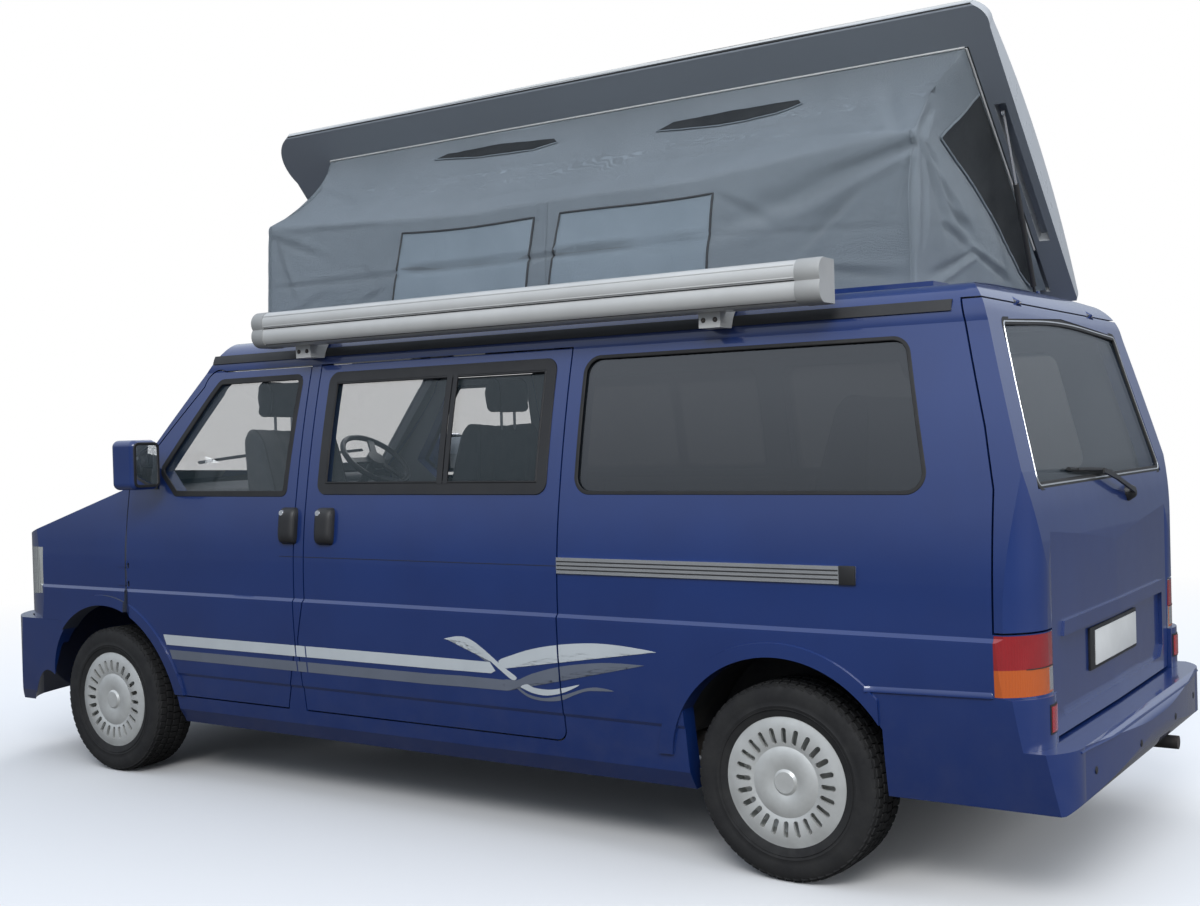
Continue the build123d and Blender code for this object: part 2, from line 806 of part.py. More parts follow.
# Inside the cab and the living space
firewall = block(cab + 20, cab + 60, -inner_half, inner_half, floor_top, 1330) & inner
firewall = firewall - floor_space - tub(cab, arch_radius_front, tub_inner_front, tub_wall)
keep("firewall", largest(firewall))
dash_outline = outline(
    (cab + 20 - seat_gap, 1262),
    (cab - 70, 1268),
    (cab - 220, 1242),
    (cab - 318, 1190, cab - 312, 1120),
    (cab - 230, 900),
    (cab - 140, 820),
    (cab + 20 - seat_gap, 820),
)
wheel_centre = (cab - 425, -400, 1345)
wheel_tilt = 50
steering_frame = Pos(*wheel_centre) * Rot(0, wheel_tilt - 90, 0)
column_radius = 22
steering = steering_frame * Torus(180, 14)
for spoke in range(3):
    steering = steering + steering_frame * Rot(0, 0, 90 + spoke * 120) * Pos(90, 0, 0) * Box(180, 34, 12)
steering = steering + steering_frame * Cylinder(48, 34)
steering = steering + steering_frame * Pos(0, 0, -150) * Cylinder(column_radius, 300)
keep("steering_wheel", steering)
column_bore = steering_frame * Pos(0, 0, -160) * Cylinder(column_radius + hinge_clearance, 320)
keep("dashboard", largest((across(dash_outline, 760) & cabin_form) - column_bore))

seat_side = outline(
    (0, 0),
    (500, 0),
    (520, 70, 480, 130),
    (120, 110),
    (-40, 620),
    (-120, 690, -170, 620),
    (-130, 60),
    (-60, 0),
)
head_side = outline((-110, 700), (-90, 830, -140, 880), (-200, 840, -196, 700))


def seat(x, y, z, width, head_width):
    # a seat that faces forward
    cushion = Pos(x, y, z) * extrude(Plane.XZ * seat_side, width / 2, both=True)
    head = Pos(x, y, z) * extrude(Plane.XZ * head_side, head_width / 2, both=True)
    stay = block(x - 160, x - 140, y - 60, y - 40, z + 560, z + 740)
    other = block(x - 160, x - 140, y + 40, y + 60, z + 560, z + 740)
    return cushion + head + stay + other


seat_base = 356
front_seat_y = 410
driver_seat_x = cab - 1115
turned_seat_x = cab - 780
turned_seat = mirror(seat(-turned_seat_x, front_seat_y, floor_top + seat_base, 500, 270), Plane.YZ)
keep("front_seats", seat(driver_seat_x, -front_seat_y, floor_top + seat_base, 500, 270), turned_seat)
for x, y in ((driver_seat_x + 160, -front_seat_y), (turned_seat_x - 160, front_seat_y)):
    keep("seat_bases", block(x - 210, x + 210, y - 190, y + 190, floor_top, floor_top + seat_base))
bench = seat(tail - 60, 130, floor_top + 400, 1100, 280)
keep("rear_bench", bench)
keep("bench_base", block(tail - 160, tail + 300, -400, 660, floor_top, floor_top + 400) - floor_tubs)
cabinet = block(tail + 420, tail + 1900, -770, -430, floor_top, 1250)
keep("cabinet", cabinet)

# Mirrors, on the front doors
mirror_head = block(cab - 440, cab - 290, 944, 1084, 1262, 1472)
mirror_head = fillet(mirror_head.edges(), 28)
mirror_arm = block(cab - 350, cab - 300, 868, 960, 1287, 1347)
mirror_left = largest((mirror_head + mirror_arm) - outer - nodes["front_door_left"][0])
keep("mirror_left", mirror_left)
keep("mirror_right", flip(mirror_left))

# Awning case on its two brackets, which stand off the drip rails
trim_form = along(offset(section, 6, kind=Kind.ARC), tail - 548, cab - 600) - section_form
rail_room = along(offset(section, 6 + seat_gap, kind=Kind.ARC), tail - 600, cab - 500)
awning_section = outline(
    (820, awning_base),
    (898, awning_base),
    (920, awning_base + 12, 924, awning_base + 70),
    (916, awning_base + 130, 880, awning_base + awning_height),
    (820, awning_base + awning_height),
)
keep("awning_case", along(awning_section, awning_rear, awning_front))
for x in (awning_rear + 427, awning_front - 214):
    bracket = block(x - 40, x + 40, 730, 860, 1780, awning_base)
    bracket = bracket + block(x - 40, x + 40, 700, 820 - seat_gap, awning_base - 10, 1900)
    keep("awning_brackets", largest(bracket - rail_room - outer))

# Elevating roof, drawn shut and then swung up about its hinge
roof_section = outline(
    (0, 0),
    (roof_span, 0),
    (roof_span + 8, 14, roof_span, roof_edge),
    (roof_span / 2, roof_crown + roof_edge, 0, roof_edge),
)
roof_plan = outline(
    (roof_rear + 60, -30),
    (roof_front - 160, -30),
    (roof_front - 30, 40, roof_front, 180),
    (roof_front + 20, 640, roof_front - 20, roof_span - 240),
    (roof_front - 60, roof_span - 60, roof_front - 240, roof_span + 20),
    (roof_rear + 90, roof_span + 20),
    (roof_rear + 20, roof_span - 10, roof_rear, roof_span - 90),
    (roof_rear, 30),
    (roof_rear + 10, -10, roof_rear + 60, -30),
)
roof_shell = along(roof_section, roof_rear - 100, roof_front + 100) & upward(roof_plan, -50, 300)
pocket_section = outline(
    (60, -10),
    (canvas_bead, -10),
    (canvas_bead, roof_edge + 4),
    (roof_span / 2, roof_crown + roof_edge - roof_skin, 60, roof_edge - 4),
)
roof_pocket = along(pocket_section, roof_rear + 90, roof_front - 292)
roof_shell = largest(roof_shell - roof_pocket)
roof_swing = Pos(0, roof_hinge_y, roof_hinge_z) * Rot(roof_open_angle, 0, 0)


def on_roof(s_along, lift):
    # world Y and Z of a point of the raised roof, from its distance to the hinge and its height over the rim
    angle = radians(roof_open_angle)
    y = roof_hinge_y + s_along * cos(angle) - lift * sin(angle)
    z = roof_hinge_z + s_along * sin(angle) + lift * cos(angle)
    return y, z


# Roof hinges: eyes on the roof panel, pins in the roof's edge
roof_hinge_places = (roof_rear + 420, (roof_rear + roof_front) / 2, roof_front - 420)
for x in roof_hinge_places:
    notch = Pos(x, 0, 0) * Rot(0, 90, 0) * Cylinder(hinge_notch_radius, 36)
    roof_shell = roof_shell - notch
    roof_shell = roof_shell + Pos(x, 0, 0) * Rot(0, 90, 0) * Cylinder(4, 60)
    at = Pos(x, roof_hinge_y, roof_hinge_z) * Rot(0, 90, 0)
    eye = at * Cylinder(9, 22) + block(x - 11, x + 11, roof_hinge_y - 9, roof_hinge_y + 5, 1862, roof_hinge_z)
    roof_panel = roof_panel + (eye - at * Cylinder(4 + hinge_clearance, 60))

# Roof struts: a barrel on the roof panel and a rod up to the raised roof
strut_s = 916
strut_lift = 8
strut_foot_y = -290
strut_foot_z = 1911
strut_places = (roof_rear + 50, roof_front - 226)
head_y, head_z = on_roof(strut_s, strut_lift)
strut_length = hypot(head_y - strut_foot_y, head_z - strut_foot_z)
shut_length = hypot(roof_hinge_y + strut_s - strut_foot_y, roof_hinge_z + strut_lift - strut_foot_z)
strut_angle = degrees(atan2(head_z - strut_foot_z, head_y - strut_foot_y))
shut_angle = degrees(atan2(roof_hinge_z + strut_lift - strut_foot_z, roof_hinge_y + strut_s - strut_foot_y))
print("strut", round(strut_length, 3), round(shut_length, 3), round(strut_angle, 4), round(shut_angle, 4))
for x in strut_places:
    recess = block(x - 20, x + 20, 320, 962, -60, 44)
    roof_shell = roof_shell - recess
    tilt = Pos(x, strut_foot_y, strut_foot_z) * Rot(strut_angle, 0, 0)
    lying = tilt * Rot(-90, 0, 0)
    barrel = lying * Pos(0, 0, 225) * Cylinder(10, 390) - lying * Pos(0, 0, 250) * Cylinder(5.5, 400)
    foot_eye = tilt * Rot(0, 90, 0) * Cylinder(9, 12) + lying * Pos(0, 0, 20) * Cylinder(5, 30)
    foot_eye = foot_eye - tilt * Rot(0, 90, 0) * Cylinder(4.3, 20)
    keep("roof_strut_barrels", largest(barrel + foot_eye))
    shaft = lying * Pos(0, 0, (232 + strut_length - 6) / 2) * Cylinder(5, strut_length - 6 - 232)
    head = tilt * Pos(0, strut_length, 0) * Rot(0, 90, 0) * Cylinder(9, 12)
    keep("roof_strut_rods", shaft + head)
    post = block(x - 16, x - 9, strut_foot_y - 12, strut_foot_y + 12, 1850, strut_foot_z + 8)
    post = post + Pos(x - 4, strut_foot_y, strut_foot_z) * Rot(0, 90, 0) * Cylinder(4, 20)
    roof_panel = roof_panel + (post - inner)
keep("roof_panel", largest(roof_panel))
keep("elevating_roof", roof_swing * largest(roof_shell))

# Canvas between the curb and the raised roof, open below and above
canvas_rear = tail - 370
canvas_front = cab - 762
bead_y, bead_z = on_roof(canvas_bead - 4, -1)
foot_y, foot_z = on_roof(64, -1)


def canvas_section(inset, reach):
    return outline(
        (foot_y + inset, canvas_base - reach),
        (canvas_wall_y - inset, canvas_base - reach),
        (canvas_wall_y - inset, canvas_fold_z),
        (bead_y - inset, bead_z),
        (bead_y - inset - reach, bead_z + reach),
        (foot_y + inset, foot_z + reach),
    )


canvas = along(canvas_section(0, 0), canvas_rear, canvas_front)
canvas_room = along(canvas_section(canvas_thickness, 60), canvas_rear + canvas_thickness, canvas_front - canvas_thickness)
keep("roof_canvas", largest(canvas - canvas_room))

# Trim on the sides: drip rails and the sliding door's rail and runner
drip = largest(trim_form & block(-3000, 3000, 300, 1000, 1786, 1821))
keep("drip_rails", drip, flip(drip))
rail = block(tail - 280, sliding_rear - half_gap, 900, 923, 965, 1020) - outer
keep("sliding_rail", largest(rail))
runner = block(sliding_rear - half_gap + seat_gap, sliding_rear + 20, 872, 900, 975, 1008)
nodes["sliding_door"] = [largest(nodes["sliding_door"][0] + runner)]

for name, shapes in nodes.items():
    print(name, [round(shape.volume / 1e6, 2) for shape in shapes], all(shape.is_valid for shape in shapes))
os.makedirs("parts", exist_ok=True)
for name, shapes in nodes.items():
    solids = [solid for shape in shapes for solid in shape.solids()]
    export_step(Compound(children=solids) if len(solids) > 1 else solids[0], f"parts/{name}.step")
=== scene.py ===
import bpy, bmesh, math
import numpy as np
from mathutils import Vector, Matrix, noise
from mathutils.bvhtree import BVHTree


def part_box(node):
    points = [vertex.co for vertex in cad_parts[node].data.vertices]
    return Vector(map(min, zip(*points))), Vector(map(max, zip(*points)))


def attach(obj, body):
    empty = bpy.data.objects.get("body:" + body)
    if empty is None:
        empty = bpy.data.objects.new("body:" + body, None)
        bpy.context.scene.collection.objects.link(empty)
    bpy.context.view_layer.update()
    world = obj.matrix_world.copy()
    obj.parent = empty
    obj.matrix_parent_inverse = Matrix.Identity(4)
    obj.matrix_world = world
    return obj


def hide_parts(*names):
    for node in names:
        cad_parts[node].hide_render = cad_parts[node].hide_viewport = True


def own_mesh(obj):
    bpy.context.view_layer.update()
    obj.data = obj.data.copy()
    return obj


# Camper van with its elevating roof raised. Metres; +X forward, +Y to the van's left, +Z up.
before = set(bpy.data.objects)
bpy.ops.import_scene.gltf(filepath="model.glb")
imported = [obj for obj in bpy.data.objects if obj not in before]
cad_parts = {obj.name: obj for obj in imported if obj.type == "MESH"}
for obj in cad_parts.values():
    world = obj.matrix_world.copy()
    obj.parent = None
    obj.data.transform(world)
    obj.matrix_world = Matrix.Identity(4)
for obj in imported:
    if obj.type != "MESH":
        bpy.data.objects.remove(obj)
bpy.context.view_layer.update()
print("frame loaded")

sides = ("left", "right")
lampSeam = 0.7335
rayStart = 3.2
rearFace = -1.9
roofHinge = (-0.665, 1.906)
roofAngle = math.radians(41.4)
roofAcross = Vector((0, math.cos(roofAngle), math.sin(roofAngle)))
roofUp = Vector((0, -math.sin(roofAngle), math.cos(roofAngle)))


# Materials: every finish is a row of numbers, built into nodes by makeFinish
def setInputs(tree, node, given):
    # each input takes a value or the output of another node
    for socket, value in given.items():
        if hasattr(value, "is_output"):
            tree.links.new(value, node.inputs[socket])
        else:
            node.inputs[socket].default_value = value


def addNode(tree, kind, given=None, **settings):
    node = tree.nodes.new(kind)
    for key, value in settings.items():
        setattr(node, key, value)
    setInputs(tree, node, given or {})
    return node


def noiseOf(tree, vector, scale, detail=3.0, roughness=0.55):
    given = {"Vector": vector, "Scale": scale, "Detail": detail, "Roughness": roughness}
    return addNode(tree, "ShaderNodeTexNoise", given).outputs["Fac"]


def mixOf(tree, factor, first, second):
    first, second = (v if hasattr(v, "is_output") else (*v, 1) for v in (first, second))
    return addNode(tree, "ShaderNodeMix", {0: factor, 6: first, 7: second}, data_type="RGBA").outputs[2]


def rangeOf(tree, value, low, high, newLow=0.0, newHigh=1.0):
    given = {"Value": value, "From Min": low, "From Max": high, "To Min": newLow, "To Max": newHigh}
    return addNode(tree, "ShaderNodeMapRange", given).outputs["Result"]


def mathOf(tree, operation, first, second=0.0):
    return addNode(tree, "ShaderNodeMath", {0: first, 1: second}, operation=operation).outputs[0]


def vectorOf(tree, operation, first, second):
    return addNode(tree, "ShaderNodeVectorMath", {0: first, 1: second}, operation=operation)


def waveOf(tree, spot, scale, axis, distortion=0.0):
    given = {"Vector": spot, "Scale": scale, "Distortion": distortion}
    return addNode(tree, "ShaderNodeTexWave", given, bands_direction=axis).outputs["Fac"]


def makeFinish(name, color, other, roughness, blotches, bumps, bumpHeight, spread=0.08, metallic=0.0,
               coat=0.0, coatRoughness=0.05, alpha=1.0, specular=0.5, sheen=0.0, dust=0.0,
               dustColor=(0.30, 0.28, 0.25), inside=None, insideAxis=(0, 1, 0), insideWay=None, weave=0,
               waves=0, ribs=0, ribAxis="Z", bands=()):
    material = bpy.data.materials.new(name)
    material.use_nodes = True
    tree = material.node_tree
    place = addNode(tree, "ShaderNodeTexCoord").outputs
    spot = place["Object"]
    parts = addNode(tree, "ShaderNodeSeparateXYZ", {0: spot}).outputs
    shade = rangeOf(tree, noiseOf(tree, spot, blotches), 0.35, 0.65)
    paint = mixOf(tree, shade, color, other or tuple(c * 0.88 for c in color))
    for axis, low, high, tint in bands:
        above = mathOf(tree, "GREATER_THAN", parts[axis], low)
        below = mathOf(tree, "LESS_THAN", parts[axis], high)
        paint = mixOf(tree, mathOf(tree, "MULTIPLY", above, below), paint, tint)
    if dust:
        low = rangeOf(tree, parts["Z"], 0.75, 0.25, 0.0, dust)
        spots = rangeOf(tree, noiseOf(tree, spot, 9.0, 6.0, 0.7), 0.4, 0.75)
        paint = mixOf(tree, mathOf(tree, "MULTIPLY", low, spots), paint, dustColor)
    rough = rangeOf(tree, noiseOf(tree, spot, blotches * 3, 4.0), 0.3, 0.7, roughness, roughness + spread)
    if inside:
        if insideWay:
            dot = vectorOf(tree, "DOT_PRODUCT", place["Normal"], insideWay)
        else:
            centred = vectorOf(tree, "SUBTRACT", spot, (0, 0, 1.1)).outputs[0]
            outward = vectorOf(tree, "MULTIPLY", centred, insideAxis).outputs[0]
            dot = vectorOf(tree, "DOT_PRODUCT", outward, place["Normal"])
        within = mathOf(tree, "LESS_THAN", dot.outputs["Value"], -0.30 if insideWay else -0.02)
        paint = mixOf(tree, within, paint, inside)
        rough = mathOf(tree, "MAXIMUM", rough, mathOf(tree, "MULTIPLY", within, 0.65))
        coat = mathOf(tree, "MULTIPLY", mathOf(tree, "SUBTRACT", 1.0, within), coat)
    height = noiseOf(tree, spot, bumps, 2.0)
    if weave:
        for axis in "XZY":
            height = mathOf(tree, "ADD", height, waveOf(tree, spot, weave, axis, 0.6))
    if ribs:
        ridges = mathOf(tree, "MULTIPLY", waveOf(tree, spot, ribs, ribAxis), 4.0)
        height = mathOf(tree, "ADD", height, ridges)
    if waves:
        swell = mathOf(tree, "MULTIPLY", noiseOf(tree, spot, waves, 5.0, 0.6), 6.0)
        height = mathOf(tree, "ADD", height, swell)
    relief = addNode(tree, "ShaderNodeBump", {
        "Height": height, "Distance": bumpHeight / 1000, "Strength": 1.0})
    setInputs(tree, tree.nodes["Principled BSDF"], {
        "Base Color": paint, "Roughness": rough, "Normal": relief.outputs["Normal"], "Metallic": metallic,
        "IOR": 1.5, "Alpha": alpha, "Specular IOR Level": specular, "Coat Weight": coat,
        "Coat Roughness": coatRoughness, "Sheen Weight": sheen})
    return material


# Columns: color, second color, roughness, scale of blotches, scale of bumps, their height in millimetres
paintBlue = ((0.006, 0.029, 0.150), (0.005, 0.025, 0.134), 0.32, 3, 90, 0.06)
paintCoat = dict(spread=0.03, coat=1.0, coatRoughness=0.02, dust=0.06)
glassCoat = dict(spread=0.02, coat=1.0, coatRoughness=0.01)
paleLens = (0.60, 0.61, 0.57)
finishRows = {
    "bodySide": (*paintBlue, dict(paintCoat, inside=(0.23, 0.24, 0.25))),
    "bodyEnd": (*paintBlue, dict(paintCoat, inside=(0.05, 0.06, 0.09), insideAxis=(1, 0, 0))),
    "bodyRoof": (*paintBlue, dict(paintCoat, inside=(0.45, 0.45, 0.43), insideAxis=(0, 0, 1))),
    "body": (*paintBlue, paintCoat),
    "glassClear": ((0.05, 0.075, 0.085), None, 0.02, 6, 4, 0.3, dict(glassCoat, alpha=0.20, specular=1.0)),
    "glassDark": ((0.012, 0.015, 0.018), None, 0.02, 6, 4, 0.3, dict(glassCoat, alpha=0.72, specular=0.9)),
    "glassTail": ((0.04, 0.06, 0.075), None, 0.02, 6, 4, 0.3, dict(glassCoat, alpha=0.36, specular=1.0)),
    "blackPlastic": ((0.016, 0.016, 0.017), (0.022, 0.022, 0.023), 0.42, 6, 900, 0.1, {}),
    "blackRubber": ((0.012, 0.012, 0.013), (0.02, 0.02, 0.02), 0.6, 6, 300, 0.1, {}),
    "tyreRubber": ((0.010, 0.010, 0.011), (0.018, 0.018, 0.018), 0.70, 14, 420, 0.3,
                   dict(spread=0.15, dust=0.12, dustColor=(0.06, 0.055, 0.05))),
    "wheelSilver": ((0.66, 0.67, 0.65), (0.58, 0.59, 0.57), 0.34, 9, 500, 0.08,
                    dict(metallic=0.35, coat=0.4, coatRoughness=0.15, dust=0.2)),
    "chrome": ((0.66, 0.67, 0.68), (0.60, 0.61, 0.62), 0.14, 6, 60, 0.1, dict(metallic=0.75)),
    "steelDark": ((0.045, 0.045, 0.045), (0.085, 0.07, 0.06), 0.6, 12, 200, 0.6, dict(metallic=0.3)),
    "underbody": ((0.022, 0.024, 0.03), (0.05, 0.048, 0.045), 0.7, 7, 160, 1, {}),
    "awningPaint": ((0.53, 0.535, 0.525), (0.48, 0.485, 0.475), 0.34, 4, 240, 0.1,
                    dict(coat=0.35, coatRoughness=0.2)),
    "awningEnd": ((0.36, 0.365, 0.36), (0.32, 0.325, 0.32), 0.5, 6, 700, 0.1, {}),
    "canvas": ((0.330, 0.395, 0.455), (0.285, 0.345, 0.400), 0.86, 2.4, 45, 0.9,
               dict(sheen=0.15, weave=420, waves=9)),
    "canvasWindow": ((0.370, 0.455, 0.530), (0.325, 0.405, 0.475), 0.6, 3, 40, 0.7,
                     dict(sheen=0.05, weave=560, waves=7)),
    "mesh": ((0.030, 0.036, 0.042), (0.045, 0.052, 0.058), 0.9, 6, 300, 0.8, dict(weave=260)),
    "zip": ((0.035, 0.04, 0.045), (0.05, 0.055, 0.06), 0.6, 6, 500, 0.5, {}),
    # the shell's faces turned downward take a darker grey: painted shade on the roof's underside
    "roofShellPaintedShadeBelow": ((0.44, 0.46, 0.48), (0.40, 0.42, 0.44), 0.25, 3, 150, 0.1,
                dict(coat=0.7, inside=(0.235, 0.262, 0.295), insideWay=tuple(roofUp))),
    # dark grey taken from the shaded underside of the roof: painted shade on the stiffeners below it
    "roofUnderPaintedShade": ((0.150, 0.172, 0.190), (0.130, 0.150, 0.168), 0.55, 5, 260, 0.4, {}),
    # this white is the canvas bead's own colour, and also a painted highlight where the rim strip wears it
    "beadWhiteAndPaintedHighlight": ((0.62, 0.63, 0.62), (0.55, 0.56, 0.55), 0.5, 6, 300, 0.1, {}),
    "stripeWhite": ((0.58, 0.62, 0.64), (0.54, 0.58, 0.60), 0.3, 6, 200, 0.04, dict(coat=0.5)),
    "stripeGrey": ((0.150, 0.170, 0.215), (0.135, 0.155, 0.195), 0.3, 6, 200, 0.04, dict(coat=0.5)),
    "plateWhite": ((0.68, 0.69, 0.68), (0.62, 0.63, 0.62), 0.35, 6, 300, 0.1, dict(dust=0.1)),
    "lampTail": ((0.30, 0.007, 0.012), (0.25, 0.006, 0.010), 0.12, 6, 80, 0.12,
                 dict(coat=1.0, specular=0.8, ribs=60, ribAxis="Y",
                      bands=(("Z", 0, lampSeam, (0.50, 0.095, 0.010)),))),
    "lampRed": ((0.45, 0.008, 0.012), (0.36, 0.006, 0.01), 0.15, 6, 80, 0.2, dict(coat=1.0, ribs=90)),
    "lampClear": ((0.55, 0.57, 0.58), (0.42, 0.44, 0.46), 0.12, 6, 60, 0.6,
                  dict(metallic=0.55, coat=1.0, ribs=34, ribAxis="Y")),
    "lampFront": ((0.55, 0.57, 0.56), (0.42, 0.44, 0.44), 0.12, 6, 60, 0.6,
                  dict(metallic=0.35, coat=1.0, ribs=34, ribAxis="Y",
                       bands=(("Y", 0.775, 2.0, paleLens), ("Y", -2.0, -0.775, paleLens)))),
    "seatCloth": ((0.105, 0.115, 0.125), (0.080, 0.090, 0.100), 0.9, 18, 500, 0.4,
                  dict(sheen=0.3, weave=300)),
    "seatPlastic": ((0.06, 0.065, 0.07), None, 0.55, 6, 800, 0.1, {}),
    "dashPlastic": ((0.060, 0.066, 0.074), (0.075, 0.08, 0.088), 0.6, 6, 650, 0.3, {}),
    "cabinetWood": ((0.40, 0.37, 0.33), (0.34, 0.31, 0.27), 0.45, 3, 30, 0.3, {}),
    "mirrorGlass": ((0.75, 0.78, 0.80), (0.72, 0.75, 0.78), 0.03, 6, 5, 0.1,
                    dict(spread=0.02, metallic=1.0)),
    "screenDark": ((0.01, 0.012, 0.015), None, 0.1, 6, 50, 0.05, dict(coat=1.0)),
}
finishes = {name: makeFinish(name, *row, **more) for name, (*row, more) in finishRows.items()}
print("materials made", len(finishes))

nodeFinishes = {
    "bodySide": "front_door_left front_door_right sliding_door side_left side_right",
    "bodyEnd": "tailgate bonnet front_end",
    "bodyRoof": "roof_panel",
    "body": "front_bumper rear_bumper mirror_left mirror_right",
    "roofShellPaintedShadeBelow": "elevating_roof",
    "canvas": "roof_canvas",
    "glassClear": "windscreen door_glass_left door_glass_right sliding_door_glass",
    "glassDark": "side_glass",
    "glassTail": "tailgate_glass",
    "lampFront": "headlamps",
    "lampTail": "tail_lamps",
    "blackPlastic": "grille fuel_tank steering_wheel roof_strut_barrels drip_rails",
    "steelDark": "front_suspension rear_axle knuckle_left knuckle_right engine_block exhaust",
    "underbody": "floor_pan firewall",
    "dashPlastic": "dashboard",
    "seatPlastic": "seat_bases",
    "seatCloth": "front_seats rear_bench",
    "cabinetWood": "bench_base cabinet",
    "awningPaint": "awning_case awning_brackets",
    "chrome": "roof_strut_rods sliding_rail",
    "wheelSilver": "wheel_front_left wheel_front_right wheel_rear_left wheel_rear_right",
    "tyreRubber": "tyre_front_left tyre_front_right tyre_rear_left tyre_rear_right",
}
for finish, names in nodeFinishes.items():
    for node in (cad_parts[name] for name in names.split()):
        if not node.material_slots:
            node.data.materials.append(finishes[finish])
        for slot in node.material_slots:
            slot.material = finishes[finish]


# Mesh helpers: parts are (vertices, faces) pairs, joined into one piece
def pairs(*numbers):
    # pairs of metres from a row of millimetres
    return tuple((a / 1000, b / 1000) for a, b in zip(numbers[::2], numbers[1::2]))


def smoothVertices(work, vertices, factor):
    axes = dict(use_axis_x=True, use_axis_y=True, use_axis_z=True)
    bmesh.ops.smooth_vert(work, verts=vertices, factor=factor, **axes)


def meshOf(work, name):
    mesh = bpy.data.meshes.new(name)
    work.to_mesh(mesh)
    work.free()
    return mesh


def addPiece(name, mesh, finish=None, smooth=True):
    piece = bpy.data.objects.new(name, mesh)
    bpy.context.scene.collection.objects.link(piece)
    if finish:
        mesh.materials.append(finishes[finish])
    if smooth:
        mesh.polygons.foreach_set("use_smooth", [True] * len(mesh.polygons))
    return piece


def makePiece(name, parts, finish, body="van", sharp=35.0, closed=True):
    mesh = bpy.data.meshes.new(name)
    vertices, faces = [], []
    for partVertices, partFaces in parts:
        shift = len(vertices)
        vertices.extend(tuple(v) for v in partVertices)
        faces.extend(tuple(i + shift for i in face) for face in partFaces)
    mesh.from_pydata(vertices, [], faces)
    work = bmesh.new()
    work.from_mesh(mesh)
    bmesh.ops.remove_doubles(work, verts=work.verts, dist=1e-6)
    if closed:
        bmesh.ops.recalc_face_normals(work, faces=work.faces)
    work.to_mesh(mesh)
    work.free()
    piece = addPiece(name, mesh, finish)
    mesh.set_sharp_from_angle(angle=math.radians(sharp))
    if body:
        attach(piece, body)
    return piece


def gridFaces(rows, wide, loopRows=False, loopWide=True, flip=False):
    # four-sided faces between rows of points, each row wide points long
    faces = []
    for row in range(rows if loopRows else rows - 1):
        here, after = row * wide, (row + 1) % rows * wide
        for k in range(wide if loopWide else wide - 1):
            n = (k + 1) % wide
            face = (here + k, after + k, after + n, here + n)
            faces.append((face[0], *face[:0:-1]) if flip else face)
    return faces


def endFaces(rows, wide):
    return [tuple(range(wide)), tuple((rows - 1) * wide + k for k in range(wide))]


def partOf(mesh):
    return [v.co.copy() for v in mesh.vertices], [tuple(p.vertices) for p in mesh.polygons]


def boxPart(low, high, bevel=0.003, segments=2, turn=None):
    work = bmesh.new()
    bmesh.ops.create_cube(work, size=1.0)
    centre = (Vector(low) + Vector(high)) / 2
    size = Vector(high) - Vector(low)
    bmesh.ops.scale(work, vec=size, verts=work.verts)
    bmesh.ops.bevel(work, geom=work.edges[:], offset=min(bevel, min(size) * 0.45), segments=segments,
                    profile=0.6, affect="EDGES")
    matrix = Matrix.Translation(centre) @ (turn.to_4x4() if turn else Matrix.Identity(4))
    vertices = [tuple(matrix @ v.co) for v in work.verts]
    faces = [tuple(v.index for v in face.verts) for face in work.faces]
    work.free()
    return vertices, faces


def makeBox(name, finish, low, high, bevel=0.003, body="van"):
    makePiece(name, [boxPart(low, high, bevel)], finish, body)


def pathDirections(points, closed):
    # the way the path runs at each point
    last = len(points) - 1
    result = []
    for k in range(len(points)):
        ahead = points[(k + 1) % len(points)] if closed or k < last else points[k]
        behind = points[k - 1] if closed or k > 0 else points[k]
        result.append((Vector(ahead) - Vector(behind)).normalized())
    return result


def sweepPart(points, normals, profile, closed=False):
    # profile columns: out along the normal, across the path; one normal serves for the whole path
    if isinstance(normals, Vector):
        normals = [normals] * len(points)
    vertices = []
    for point, direction, normal in zip(points, pathDirections(points, closed), normals):
        out = Vector(normal).normalized()
        side = direction.cross(out).normalized()
        vertices += [Vector(point) + out * lift + side * across for lift, across in profile]
    faces = gridFaces(len(points), len(profile), closed)
    return vertices, faces if closed else faces + endFaces(len(points), len(profile))


def barProfile(high, half, low=None):
    low = high if low is None else low
    return (high, -half), (high, half), (-low, half), (-low, -half)


def tubePart(points, radius, sides=10, closed=False):
    normals = []
    reference = Vector((0, 0, 1))
    for direction in pathDirections(points, closed):
        across = reference - direction * reference.dot(direction)
        if across.length < 0.05:
            across = Vector((1, 0, 0)) - direction * direction.x
        reference = across.normalized()
        normals.append(reference)
    angles = [2 * math.pi * k / sides for k in range(sides)]
    circle = [(radius * math.cos(angle), radius * math.sin(angle)) for angle in angles]
    return sweepPart(points, normals, circle, closed)


def lathePart(profile, centre, axis, steps=48):
    # profile columns: along the axis, radius
    axis = Vector(axis).normalized()
    first = axis.orthogonal().normalized()
    second = axis.cross(first)
    vertices = []
    for step in range(steps):
        angle = 2 * math.pi * step / steps
        spoke = first * math.cos(angle) + second * math.sin(angle)
        vertices += [Vector(centre) + axis * along + spoke * max(radius, 1e-5) for along, radius in profile]
    return vertices, gridFaces(steps, len(profile), True, False)


def mirrorPart(part):
    vertices, faces = part
    return [(v[0], -v[1], v[2]) for v in vertices], [tuple(reversed(face)) for face in faces]


def sided(parts, side):
    return parts if side == "left" else [mirrorPart(part) for part in parts]


